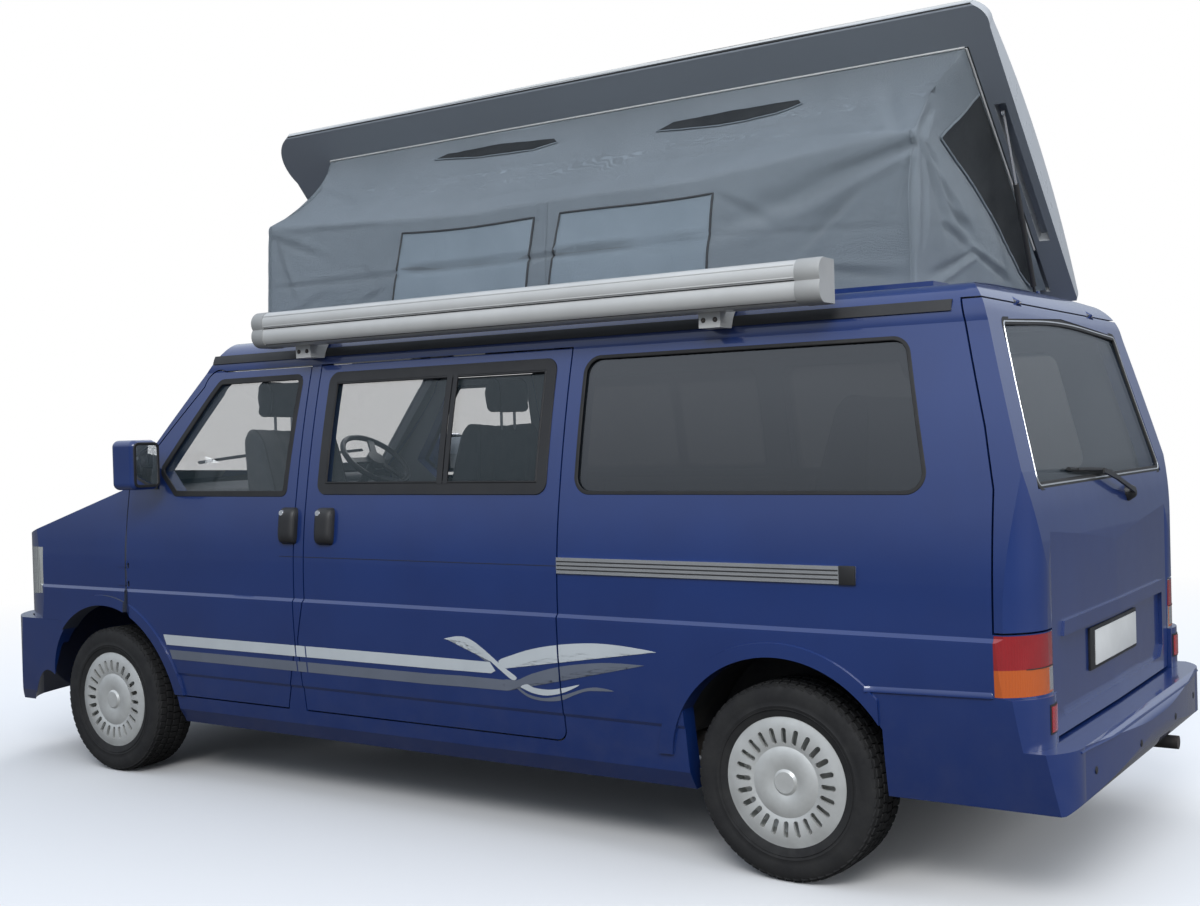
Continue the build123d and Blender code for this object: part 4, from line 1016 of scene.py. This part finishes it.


# Elevating roof: bead where the canvas meets it, a dark line round the rim with a white strip above it as a
# painted highlight on the rim's edge, stiffeners below
beadParts = []
beadRows = ((0, 160, 0, 161, 0.0015), (1, 80, 0, 66, 0.0025), (3, 80, 15, 81, 0.0025))
for wall, steps, low, high, lift in beadRows:
    line = [canvasAt(wall, k / steps, 2, 0.0045) + roofUp * lift for k in range(low, high)]
    beadParts.append(tubePart(line, 0.0042, 8))
makePiece("roof_bead", beadParts, "beadWhiteAndPaintedHighlight", "raised_roof")


def lineLength(line):
    return sum((line[k] - line[k - 1]).length for k in range(1, len(line)))


def ringOfNode(name, normal, offset, spread):
    # the longest outline in which a plane cuts a node, thinned to points a spread apart
    work = bmesh.new()
    work.from_mesh(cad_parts[name].data)
    links = {}
    for edge in (e for e in planeCut(work, offset, normal, dist=1e-5) if isinstance(e, bmesh.types.BMEdge)):
        a, b = edge.verts
        links.setdefault(a, []).append(b)
        links.setdefault(b, []).append(a)
    loops, seen = [], set()
    for start in links:
        loop, here = [], None if start in seen else start
        while here is not None:
            seen.add(here)
            loop.append(here.co.copy())
            here = next((v for v in links[here] if v not in seen), None)
        loops.append(loop)
    work.free()
    longest = max(loops, key=lineLength)
    result = longest[:1]
    for point in longest[1:]:
        if (point - result[-1]).length > spread:
            result.append(point)
    return result


def rimBand(lift, profile):
    # band round the roof's rim at a height over its underside; profile columns: outward, upward
    rim = ringOfNode("elevating_roof", roofUp, Vector((0, *roofHinge)) + roofUp * lift, 0.02)
    centre = sum(rim, Vector()) / len(rim)
    outs = []
    for k, point in enumerate(rim):
        out = (rim[(k + 1) % len(rim)] - rim[k - 1]).normalized().cross(roofUp).normalized()
        outs.append(out if out.dot(point - centre) > 0 else -out)
    return sweepPart(rim, outs, profile, closed=True)


darkLine = pairs(1.2, -4, 4, -3, 4, 3, 1.2, 4, -2, 0)
makePiece("roof_rim_line", [rimBand(0.007, darkLine)], "blackRubber", "raised_roof")
# painted highlight: a white strip stands for the light caught on the rim's curved edge
paintedHighlightLine = pairs(-2, -6, 5, -6, 9, -2, 9, 3, 5, 7, -2, 7)
makePiece("roof_rim_edge", [rimBand(0.021, paintedHighlightLine)], "beadWhiteAndPaintedHighlight", "raised_roof")
roofTree = treeOf("elevating_roof")
half = Vector((0.25, 0.006, 0.006))
parts = []
for x in (0.30, -1.20):
    start = Vector((x, *roofHinge)) + roofAcross * 0.30
    foot = roofTree.ray_cast(start - roofUp * 0.30, roofUp)[0] or start
    parts.append(boxPart(foot - half, foot + half, 0.002))
# the stiffeners wear the darker grey as painted shade under the roof
makePiece("roof_stiffeners", parts, "roofUnderPaintedShade", "raised_roof")
print("roof dressed")


# Awning: end caps, the lid's seams, ribs and the bolts of the brackets
awningValues = {
    "proud": 0.0022,
    "rearCap": 0.083,
    "frontCap": 0.062,
    "boltPlaces": (-1.4125, 0.4465),
}
awningLow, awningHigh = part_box("awning_case")
awningTree = treeOf("awning_case")
rearX, frontX = awningLow[0], awningHigh[0]
middle = (rearX + frontX) / 2


def awningRing(x, grow):
    # the outline of the case at its middle, grown a little and moved to x
    centre = Vector((middle, (awningLow[1] + awningHigh[1]) / 2, (awningLow[2] + awningHigh[2]) / 2))
    points = []
    for angle in (2 * math.pi * k / 56 for k in range(56)):
        way = Vector((0, math.cos(angle), math.sin(angle)))
        hit = awningTree.ray_cast(centre + way * 0.4, -way)[0] or centre + way * 0.05
        point = hit + way * grow
        points.append(Vector((x, point.y, point.z)))
    return points


def awningCap(x, way, length):
    proud = awningValues["proud"]
    places = ((-0.0005, -0.006), (-0.0010, proud - 0.002), (0.004, proud), (length, proud),
              (length, -0.004))
    rings = [awningRing(x + way * along, grow) for along, grow in places]
    return [p for ring in rings for p in ring], gridFaces(5, 56) + endFaces(5, 56)


def awningStrip(z, fromRear, fromFront, half, deep, bevel):
    y = castPlace(awningTree, (middle, 1.6, z), (0, -1, 0)).y
    return boxPart((rearX + fromRear, y - 0.004, z - half), (frontX - fromFront, y + deep, z + half), bevel)


caps = [awningCap(rearX, 1, awningValues["rearCap"]), awningCap(frontX, -1, awningValues["frontCap"])]
makePiece("awning_caps", caps, "awningEnd", "van", 40)
seamParts = [awningStrip(awningLow[2] + up, 0.085, 0.064, half, deep, 0.0005)
             for up, half, deep in ((0.072, 0.00175, 0.0012), (0.0085, 0.0015, 0.0015))]
makePiece("awning_seams", seamParts, "blackRubber")
ribParts = [awningStrip(awningLow[2] + up, 0.086, 0.065, 0.002, 0.0022, 0.0015) for up in (0.080, 0.120)]
makePiece("awning_ribs", ribParts, "awningPaint")
bracketTree = treeOf("awning_brackets")
bolts = []
for x in (x + aside for x in awningValues["boltPlaces"] for aside in (-0.022, 0.022)):
    place = castPlace(bracketTree, (x, 1.6, awningLow[2] - 0.024), (0, -1, 0))
    if place is not None:
        bolts.append(lathePart(pairs(-3, 1, -3, 8, 3, 8, 5.5, 5, 5.5, 1), place, (0, 1, 0), 18))
if bolts:
    makePiece("bracket_bolts", bolts, "steelDark")


# Sliding rail: black end cap and grooves
(rearX, lowY, lowZ), (frontX, highY, highZ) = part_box("sliding_rail")
makeBox("rail_end_cap", "blackPlastic", (rearX - 0.001, lowY + 0.004, lowZ - 0.002),
        (rearX + 0.054, highY + 0.0025, highZ + 0.002), 0.004)
parts = [boxPart((rearX + 0.056, highY - 0.004, z - 0.0022),
                 (frontX - 0.002, highY + 0.0012, z + 0.0022), 0.0008)
         for z in (lowZ + 0.0135, (lowZ + highZ) / 2, highZ - 0.0135)]
makePiece("rail_grooves", parts, "blackRubber")
print("awning and rails dressed")


# Lamps: white lens and seams at the rear, reflectors in the bumper ears
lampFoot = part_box("tail_lamps")[0][2]
lampTree = treeOf("tail_lamps")


def onLamp(y, z, lift=0.0):
    return castNear(lampTree, y, z, pairs(4, 0, -4, 0, 8, 0, -8, 0), -2.45) - Vector((lift, 0, 0))


def onEar(y, z, lift):
    return castNear(bumperTree, y, z, (), -2.47) - Vector((lift, 0, 0))


def slabPart(place, lowY, highY, lowZ, highZ, wide, tall, lift, depth):
    # a plate laid on a surface, from a grid of its points, with its back moved inward by the depth
    rows = [[place(lowY + (highY - lowY) * a / (wide - 1), lowZ + (highZ - lowZ) * b / (tall - 1), lift)
             for a in range(wide)] for b in range(tall)]
    front = [p for row in rows for p in row]
    half = len(front)
    faces = gridFaces(tall, wide, loopWide=False, flip=True)
    faces += [tuple(k + half for k in face) for face in gridFaces(tall, wide, loopWide=False)]
    edge = list(range(wide)) + [r * wide + wide - 1 for r in range(1, tall)]
    edge += [(tall - 1) * wide + k for k in range(wide - 2, -1, -1)]
    edge += [r * wide for r in range(tall - 2, 0, -1)]
    faces += [(a, a + half, b + half, b) for a, b in zip(edge, edge[1:] + edge[:1])]
    return front + [p + Vector((depth, 0, 0)) for p in front], faces


lensPart = slabPart(onLamp, 0.744, 0.778, lampFoot + 0.008, lampSeam - 0.004, 5, 7, 0.0012, 0.003)
seam = [p for p in (onLamp(0.742 + 0.012 * k, lampSeam) for k in range(12)) if p.x > -2.6]
seamPart = sweepPart(seam, Vector((-1, 0, 0)), barProfile(0.0016, 0.0014, 0.002))
for side in sides:
    makePiece(f"tail_white_lens_{side}", sided([lensPart], side), "lampClear")
    makePiece(f"tail_seam_{side}", sided([seamPart], side), "blackRubber")
    for name, finish, grow, lift in (("ear_reflector_frame", "blackPlastic", 0.006, 0.0025),
                                     ("ear_reflector", "lampRed", 0.0, 0.0045)):
        part = slabPart(onEar, 0.752 - grow, 0.808 + grow, 0.546 - grow, 0.620 + grow, 7, 7,
                        lift, lift + 0.004)
        makePiece(f"{name}_{side}", sided([part], side), finish)


# Bumpers: sensors and the step's edge at the rear, a bare plate at the front; then the blades on the screen
sensors = []
for y in (-0.66, -0.24, 0.24, 0.66):
    place = castPlace(bumperTree, (-rayStart, y, 0.415))
    if place is not None:
        sensors.append(lathePart(pairs(-3, 1, -3, 11.5, 1.2, 11.5, 2.2, 9, 2.2, 1), place, (-1, 0, 0), 24))
makePiece("rear_sensors", sensors, "blackPlastic")
line = [castPlace(bumperTree, (-rayStart, k * 0.026, 0.4885)) for k in range(-30, 31)]
line = [p for p in line if p is not None and p.x < -2.45]
if len(line) > 3:
    edgePart = sweepPart(line, Vector((-1, 0, 0.4)), barProfile(0.0035, 0.003, 0.003))
    makePiece("rear_step_edge", [edgePart], "body")
shieldTree = treeOf("windscreen", "front_end")
screenOut = Vector((0.62, 0, 0.78))


screenWipers = []
for foot, tip in ((-0.10, -0.62), (0.46, -0.04)):
    spots = [(rayStart, foot + (tip - foot) * (0.15 + 0.85 * k / 14), 1.352 + 0.035 * k / 14)
             for k in range(15)]
    places = [castPlace(shieldTree, spot, (-1, 0, 0)) for spot in spots]
    blade = [place + screenOut * 0.008 for place in places if place is not None]
    if len(blade) > 8:
        screenWipers.append(sweepPart(blade, screenOut, pairs(10, -3, 10, 3, -6, 1, -6, -1)))
if screenWipers:
    makePiece("screen_wipers", screenWipers, "blackPlastic")
x = castPlace(bumperTree, (rayStart, 0, 0.47), (-1, 0, 0)).x
makeBox("front_plate_holder", "blackPlastic", (x - 0.002, -0.275, 0.412), (x + 0.004, 0.275, 0.540), 0.002)
makeBox("front_plate", "plateWhite", (x + 0.0035, -0.26, 0.420), (x + 0.0065, 0.26, 0.532), 0.001)
print("lamps and bumpers dressed")


# Seats: padded forms pumped up by a cloth simulation, then sewn channels and piping
seatValues = {
    "origins": {"driver": (0.5555, -0.41, 0.856, 1), "turned": (0.8905, 0.41, 0.856, -1)},
    "bench": (-1.7095, 0.130, 0.900, 1),
    "width": 0.480,
    "headWidth": 0.250,
    "benchWidth": 1.080,
    "cap": 0.014,
    "pressure": 4.0,
    "frames": 20,
    "channelDepth": 0.006,
}
cushionProfile = pairs(40, 8, 490, 8, 506, 64, 470, 118, 300, 116, 130, 102, 40, 98)
backProfile = pairs(-50, 14, 60, 14, 108, 116, 30, 360, -48, 606, -88, 652, -132, 652, -162, 606, -144, 340,
                    -122, 66)
headProfile = pairs(-118, 706, -102, 790, -118, 846, -150, 866, -184, 846, -192, 790, -190, 706)


def prismMesh(profile, width, bevel):
    work = bmesh.new()
    face = work.faces.new([work.verts.new((x, -width / 2, z)) for x, z in profile])
    moved = bmesh.ops.extrude_face_region(work, geom=[face])
    for vertex in [g for g in moved["geom"] if isinstance(g, bmesh.types.BMVert)]:
        vertex.co.y += width
    bmesh.ops.recalc_face_normals(work, faces=work.faces)
    bmesh.ops.bevel(work, geom=work.edges[:], offset=bevel, segments=4, profile=0.5, affect="EDGES",
                    clamp_overlap=True)
    return meshOf(work, "pad")


def evaluated(piece):
    graph = bpy.context.evaluated_depsgraph_get()
    return bpy.data.meshes.new_from_object(piece.evaluated_get(graph))


def pumpedPad(name, profile, width, bevel, voxel, channels):
    values = seatValues
    piece = addPiece(name, prismMesh(profile, width, bevel), smooth=False)
    remesh = piece.modifiers.new("remesh", "REMESH")
    remesh.mode = "VOXEL"
    remesh.voxel_size = voxel
    bpy.context.view_layer.update()
    mesh = evaluated(piece)
    piece.modifiers.clear()
    piece.data = mesh
    rest = np.array([tuple(v.co) for v in mesh.vertices])
    cloth = piece.modifiers.new("cloth", "CLOTH")
    cloth.settings.quality = 4
    cloth.settings.mass = 0.3
    cloth.settings.use_pressure = True
    cloth.settings.uniform_pressure_force = values["pressure"]
    cloth.settings.effector_weights.gravity = 0
    cloth.point_cache.frame_start = 1
    cloth.point_cache.frame_end = values["frames"]
    for frameNumber in range(1, values["frames"] + 1):
        bpy.context.scene.frame_set(frameNumber)
    shift = np.array([tuple(v.co) for v in evaluated(piece).vertices]) - rest
    piece.modifiers.clear()
    furthest = float(np.linalg.norm(shift, axis=1).max())
    shift *= values["cap"] / max(values["cap"], furthest)
    print(name, "pumped, furthest move", round(furthest, 4))
    for vertex, place in zip(mesh.vertices, rest + shift):
        vertex.co = place
    bpy.context.scene.frame_set(1)
    normals = [v.normal.copy() for v in mesh.vertices]
    for vertex, normal in zip(mesh.vertices, normals):
        inward = sum(math.exp(-((vertex.co.y - y) / 0.007) ** 2) for y in channels)
        crumple = noise.noise(vertex.co * 14) * 0.0016
        vertex.co += normal * (crumple - min(inward, 1) * values["channelDepth"])
    work = bmesh.new()
    work.from_mesh(mesh)
    for _ in range(3):
        smoothVertices(work, work.verts, 0.5)
    work.to_mesh(mesh)
    work.free()
    bpy.data.objects.remove(piece)
    return mesh


def setPad(name, mesh, origin, facing):
    copy = mesh.copy()
    copy.transform(Matrix.Translation(origin) @ Matrix.Diagonal((facing, facing, 1, 1)))
    copy.name = name
    piece = addPiece(name, copy, "seatCloth")
    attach(piece, "van")


def pipingParts(mesh, width, profile, origin, facing):
    # piping follows the profile near both side faces and lies on the pad
    tree = BVHTree.FromPolygons(*partOf(mesh))
    centre = sum((Vector((x, 0, z)) for x, z in profile), Vector()) / len(profile)
    parts = []
    for y in (-width / 2 + 0.020, width / 2 - 0.020):
        line = []
        for x, z in smoothLine(profile, 5, closed=True):
            start = Vector((x, y, z)) + (Vector((x, 0, z)) - centre).normalized() * 0.12
            hit = tree.ray_cast(start, (Vector((centre.x, y, centre.z)) - start).normalized())[0]
            if hit is not None:
                line.append(Vector(origin) + Vector((hit.x * facing, hit.y * facing, hit.z)))
        parts.append(tubePart(line, 0.0032, 6, closed=True))
    return parts


def padSet(who, width, voxel, channels):
    rows = (("cushion", cushionProfile), ("back", backProfile))
    return {part: (pumpedPad(f"{who}_{part}_pad", profile, width, 0.026, voxel, channels), profile, width)
            for part, profile in rows}


headWidth = seatValues["headWidth"]
pads = padSet("seat", seatValues["width"], 0.0075, (-0.130, 0.130))
headPad = pumpedPad("seat_head_pad", headProfile, headWidth, 0.024, 0.006, ())
pads["head"] = (headPad, headProfile, headWidth)
benchPads = padSet("bench", seatValues["benchWidth"], 0.010, (-0.27, 0.0, 0.27))
benchPads["head"] = pads["head"]
seatPlaces = [(f"{who}_seat", pads, place) for who, place in seatValues["origins"].items()]
piping, stays, covers, buckles = [], [], [], []
for who, padRows, (x, y, z, facing) in (*seatPlaces, ("bench", benchPads, seatValues["bench"])):
    for part, (mesh, profile, width) in padRows.items():
        setPad(f"{who}_{part}", mesh, (x, y, z), facing)
        piping += pipingParts(mesh, width, profile, (x, y, z), facing)
    stays += [tubePart([(x - 0.150 * facing, y + aside, z + up) for up in (0.620, 0.730)], 0.0065)
              for aside in (-0.050, 0.050)]
makePiece("seat_piping", piping, "seatPlastic")
makePiece("seat_head_stays", stays, "chrome")
for x, y, z, facing in seatValues["origins"].values():
    rear, front = sorted((x - 0.03 * facing, x + 0.36 * facing))
    for middle in (y - 0.246, y + 0.246):
        covers.append(boxPart((rear, middle - 0.006, z + 0.004), (front, middle + 0.004, z + 0.075), 0.004))
    x += 0.02 * facing
    buckles.append(boxPart((x - 0.012, y + 0.252, z + 0.02), (x + 0.012, y + 0.262, z + 0.20), 0.003))
makePiece("seat_side_covers", covers, "seatPlastic")
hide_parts("front_seats")
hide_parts("rear_bench")
print("seats padded")


# Tyres: a turned carcass with grooves, and rows of tread blocks repeated by geometry nodes
tyreValues = {
    "radius": 0.3198,
    "crown": 0.3134,
    "tread": 0.0065,
    "rows": 64,
    "ribs": ((-0.070, 0.015), (-0.0385, 0.0135), (0.0, 0.0165), (0.0385, 0.0135), (0.070, 0.015)),
    "seed": 4,
}
# Half of the carcass from its bead to the crown: across, radius
carcassHalf = pairs(-78, 193, -85, 200, -93, 222, -98.5, 240, -100, 245, -98.5, 247.5, -100.5, 262,
                    -101.2, 276, -99.5, 290, -96.5, 301, -92.5, 308.5, -86.5, 313, -60, 313.3)
otherHalf = [(-across, radius) for across, radius in carcassHalf[::-1]]
carcassProfile = (*carcassHalf, (0.0, tyreValues["crown"]), *otherHalf)


def treadRow():
    # one row of blocks across the tyre, lying round +Z at the tread's radius
    values = tyreValues
    pitch = 2 * math.pi * values["radius"] / values["rows"]
    parts = []
    for number, (across, half) in enumerate(values["ribs"]):
        turn = Matrix.Rotation(-math.copysign(0.10, across) if across else 0, 3, "Z")
        shoulder = abs(across) > 0.06
        drop = 0.0022 if shoulder else 0.0
        long = pitch * (0.86 if number % 2 else 0.80) / 2
        shift = pitch * 0.25 * (number % 2)
        parts.append(boxPart((shift - long, across - half, -0.004 - drop),
                             (shift + long, across + half, values["tread"] - drop - 0.0003), 0.0011, 1, turn))
        if shoulder:
            low, high = sorted(across + math.copysign(reach, across) for reach in (0.014, 0.0245))
            parts.append(boxPart((shift - long, low, -0.012), (shift + long, high, -0.0035),
                                 0.0010, 1, turn))
    return makePiece("tread_row", parts, "tyreRubber", None, 30)


def treadTree():
    tree = bpy.data.node_groups.new("treadRepeat", "GeometryNodeTree")
    tree.interface.new_socket("Geometry", in_out="OUTPUT", socket_type="NodeSocketGeometry")
    kinds = {"Row": "Object", "Rows": "Int", "Radius": "Float", "Seed": "Int", "Finish": "Material"}
    for name, kind in kinds.items():
        tree.interface.new_socket(name, in_out="INPUT", socket_type="NodeSocket" + kind)
    given = addNode(tree, "NodeGroupInput").outputs
    circle = addNode(tree, "GeometryNodeMeshCircle", {
        "Vertices": given["Rows"], "Radius": given["Radius"]})
    flat = addNode(tree, "GeometryNodeTransform", {
        "Geometry": circle.outputs[0], "Rotation": (math.pi / 2, 0, 0)})
    index = addNode(tree, "GeometryNodeInputIndex").outputs[0]
    angle = mathOf(tree, "MULTIPLY", mathOf(tree, "DIVIDE", index, given["Rows"]), 2 * math.pi)
    turn = addNode(tree, "ShaderNodeCombineXYZ", {"Y": mathOf(tree, "SUBTRACT", math.pi / 2, angle)})
    length = addNode(tree, "FunctionNodeRandomValue", {2: 0.94, 3: 1.04, "Seed": given["Seed"]},
                     data_type="FLOAT")
    scale = addNode(tree, "ShaderNodeCombineXYZ", {"X": length.outputs[1], "Y": 1, "Z": 1})
    row = addNode(tree, "GeometryNodeObjectInfo", {"Object": given["Row"]})
    place = addNode(tree, "GeometryNodeInstanceOnPoints", {
        "Points": flat.outputs[0], "Instance": row.outputs["Geometry"], "Rotation": turn.outputs[0],
        "Scale": scale.outputs[0]})
    real = addNode(tree, "GeometryNodeRealizeInstances", {0: place.outputs[0]})
    paint = addNode(tree, "GeometryNodeSetMaterial", {
        "Geometry": real.outputs[0], "Material": given["Finish"]})
    addNode(tree, "NodeGroupOutput", {0: paint.outputs[0]})
    return tree


rowPiece = treadRow()
holder = addPiece("tread_holder", bpy.data.meshes.new("tread_holder"), smooth=False)
repeat = holder.modifiers.new("tread", "NODES")
repeat.node_group = treadTree()
wanted = {"Row": rowPiece, "Rows": tyreValues["rows"], "Radius": tyreValues["crown"],
          "Seed": tyreValues["seed"], "Finish": finishes["tyreRubber"]}
for item in repeat.node_group.interface.items_tree:
    if item.in_out == "INPUT":
        repeat[item.identifier] = wanted[item.name]
bpy.context.view_layer.update()
treadMesh = evaluated(holder)
for spare in (holder, rowPiece):
    bpy.data.objects.remove(spare)
wheelParts = [lathePart(carcassProfile, (0, 0, 0), (0, 1, 0), 128), partOf(treadMesh)]
beadRing = pairs(98.5, 233, 100.3, 234, 100.3, 235, 98.5, 236)
for way in (-1, 1):
    ring = [(way * across, radius) for across, radius in beadRing]
    wheelParts.append(lathePart(ring, (0, 0, 0), (0, 1, 0), 96))
for corner in ("front_left", "front_right", "rear_left", "rear_right"):
    low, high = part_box(f"tyre_{corner}")
    centre = (Vector(low) + Vector(high)) / 2
    parts = [([v + centre for v in vertices], faces) for vertices, faces in wheelParts]
    tyre = makePiece(f"tyre_dressed_{corner}", parts, "tyreRubber", f"wheel_{corner}", 40, closed=False)
    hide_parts(f"tyre_{corner}")
    low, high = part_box(f"wheel_{corner}")
    way = 1 if centre.y > 0 else -1
    hub = (centre.x, high[1] if way > 0 else low[1], centre.z)
    disc = lathePart(pairs(-12, 30, -2.5, 30, -1.5, 28.5, -3.5, 26.5, -3.5, 1), hub, (0, way, 0))
    makePiece(f"wheel_disc_{corner}", [disc], "chrome", f"wheel_{corner}")
print("tyres made")


# Cabin: worktop, cupboard doors and knobs, instrument hood, screen, vents, gear lever and belt buckles
cupboards = 4
low, high = (Vector(v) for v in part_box("cabinet"))
makeBox("cabinet_worktop", "dashPlastic", (low.x + 0.002, low.y + 0.002, high.z - 0.001),
        (high.x - 0.002, high.y + 0.012, high.z + 0.022), 0.004)
parts, knobs = [], []
knob = pairs(10, 1, 10, 11, 16, 13, 20, 10, 20, 1)
width = (high.x - low.x - 0.04) / cupboards
cupboardRows = ((low.z + 0.06, low.z + 0.48, low.z + 0.44), (low.z + 0.50, high.z - 0.03, low.z + 0.54))
for x in (low.x + 0.02 + width * k for k in range(cupboards)):
    for foot, top, z in cupboardRows:
        parts.append(boxPart((x + 0.006, high.y - 0.001, foot), (x + width - 0.006, high.y + 0.012, top)))
        knobs.append(lathePart(knob, (x + width - 0.05, high.y, z), (0, 1, 0), 20))
makePiece("cabinet_doors", parts, "cabinetWood")
makePiece("cabinet_knobs", knobs, "chrome")
dashTree = treeOf("dashboard")
dashLow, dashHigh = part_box("dashboard")
x = dashLow[0] + 0.11
hit = castPlace(dashTree, (x, -0.40, 2.0), (0, 0, -1))
z = (hit.z if hit is not None else dashHigh[2]) - 0.012
hood = lathePart(pairs(-170, 1, -165, 52, 165, 52, 170, 1), (x, -0.40, z), (0, 1, 0), 24)
makePiece("instrument_hood", [hood], "dashPlastic")
face = castPlace(dashTree, (0.4, 0.0, 1.12))
if face is not None:
    makeBox("dash_screen", "screenDark", (face.x - 0.006, -0.09, 1.06), (face.x + 0.01, 0.09, 1.17), 0.004)
    parts = [boxPart((face.x - 0.008, y - 0.05, 1.14), (face.x + 0.01, y + 0.05, 1.19), 0.006)
             for y in (-0.66, 0.30, 0.66)]
    makePiece("dash_vents", parts, "blackPlastic")
lever = [tubePart([(1.16, -0.05, 0.50), (1.15, -0.05, 0.70), (1.12, -0.05, 0.86)], 0.009),
         lathePart(pairs(-20, 1, -18, 14, 0, 23, 20, 20, 28, 1), (1.118, -0.05, 0.875), (-0.2, 0, 1), 18)]
makePiece("gear_lever", lever, "blackPlastic")
makePiece("belt_buckles", buckles, "blackPlastic")
print("cabin dressed")


# Floor, backdrop, lights and camera
stageValues = {
    "floorColor": (0.80, 0.80, 0.80),
    "backdropColor": (1.0, 1.0, 1.0),
    "skyHigh": (0.80, 0.88, 1.0),
    "skyLow": (0.17, 0.19, 0.22),
    "groundSeen": (0.11, 0.105, 0.10),
    "cameraPlace": (-3.71941, 4.93868, 1.44341),
    "cameraYaw": -56.0001,
    "cameraPitch": -0.75715,
    "cameraRoll": -1.59177,
    "cameraLens": 42.907,
    "lights": (("key_light", (-4.5, 7.5, 6.5), (0, 0, 1.2), 500, 5.0),
               ("fill_light", (-9.0, 0.5, 3.5), (-1, 0, 1.2), 190, 4.0),
               ("far_light", (4.5, -7.0, 6.0), (0, 0, 1.2), 260, 5.0)),
}


def floorFinish():
    # pale for the camera and fading into the backdrop, darker for what the paint mirrors
    values = stageValues
    material = bpy.data.materials.new("studio_floor")
    material.use_nodes = True
    tree = material.node_tree
    shader = tree.nodes["Principled BSDF"]
    seen = addNode(tree, "ShaderNodeLightPath").outputs["Is Camera Ray"]
    paint = mixOf(tree, seen, values["groundSeen"], values["floorColor"])
    setInputs(tree, shader, {"Base Color": paint, "Roughness": 0.9})
    spot = addNode(tree, "ShaderNodeTexCoord").outputs["Object"]
    length = addNode(tree, "ShaderNodeVectorMath", {0: spot}, operation="LENGTH").outputs["Value"]
    glow = addNode(tree, "ShaderNodeEmission", {"Color": (*values["backdropColor"], 1)})
    share = mathOf(tree, "MULTIPLY", rangeOf(tree, length, 3.5, 9.0), seen)
    mix = addNode(tree, "ShaderNodeMixShader", {0: share, 1: shader.outputs[0], 2: glow.outputs[0]})
    setInputs(tree, tree.nodes["Material Output"], {"Surface": mix.outputs[0]})
    return material


def makeStage():
    values = stageValues
    mesh = bpy.data.meshes.new("studio_floor")
    mesh.from_pydata([(-40, -40, 0), (40, -40, 0), (40, 40, 0), (-40, 40, 0)], [], [(0, 1, 2, 3)])
    mesh.materials.append(floorFinish())
    addPiece("studio_floor", mesh, smooth=False)
    world = bpy.data.worlds.new("studio")
    bpy.context.scene.world = world
    world.use_nodes = True
    tree = world.node_tree
    way = addNode(tree, "ShaderNodeTexCoord").outputs["Generated"]
    rise = rangeOf(tree, addNode(tree, "ShaderNodeSeparateXYZ", {0: way}).outputs["Z"], 0.02, 0.42)
    background = tree.nodes["Background"]
    sky = mixOf(tree, rise, values["skyLow"], values["skyHigh"])
    setInputs(tree, background, {"Color": sky, "Strength": 1.0})
    plain = addNode(tree, "ShaderNodeBackground", {"Color": (*values["backdropColor"], 1), "Strength": 1.0})
    seen = addNode(tree, "ShaderNodeLightPath").outputs["Is Camera Ray"]
    mix = addNode(tree, "ShaderNodeMixShader", {0: seen, 1: background.outputs[0], 2: plain.outputs[0]})
    setInputs(tree, tree.nodes["World Output"], {"Surface": mix.outputs[0]})
    for name, place, target, power, width in values["lights"]:
        lamp = bpy.data.lights.new(name, "AREA")
        lamp.shape = "RECTANGLE"
        lamp.size, lamp.size_y = width, 3.0
        lamp.energy = power
        light = addPiece(name, lamp, smooth=False)
        light.location = place
        light.rotation_euler = (Vector(target) - Vector(place)).to_track_quat("-Z", "Y").to_euler()


def makeCamera():
    values = stageValues
    yaw, pitch, roll = (math.radians(values[key]) for key in ("cameraYaw", "cameraPitch", "cameraRoll"))
    ahead = Vector((math.cos(pitch) * math.cos(yaw), math.cos(pitch) * math.sin(yaw), math.sin(pitch)))
    right = ahead.cross(Vector((0, 0, 1))).normalized()
    upward = right.cross(ahead)
    tiltedRight = right * math.cos(roll) + upward * math.sin(roll)
    tiltedUp = upward * math.cos(roll) - right * math.sin(roll)
    camera = bpy.data.cameras.new("photo_camera")
    camera.lens = values["cameraLens"]
    camera.sensor_width = 36
    camera.clip_start, camera.clip_end = 0.05, 200
    holder = addPiece("photo_camera", camera, smooth=False)
    basis = Matrix((tiltedRight, tiltedUp, -ahead)).transposed().to_4x4()
    holder.matrix_world = Matrix.Translation(values["cameraPlace"]) @ basis
    bpy.context.scene.camera = holder


makeStage()
makeCamera()
bpy.context.scene.view_settings.view_transform = "Standard"
print("stage ready")
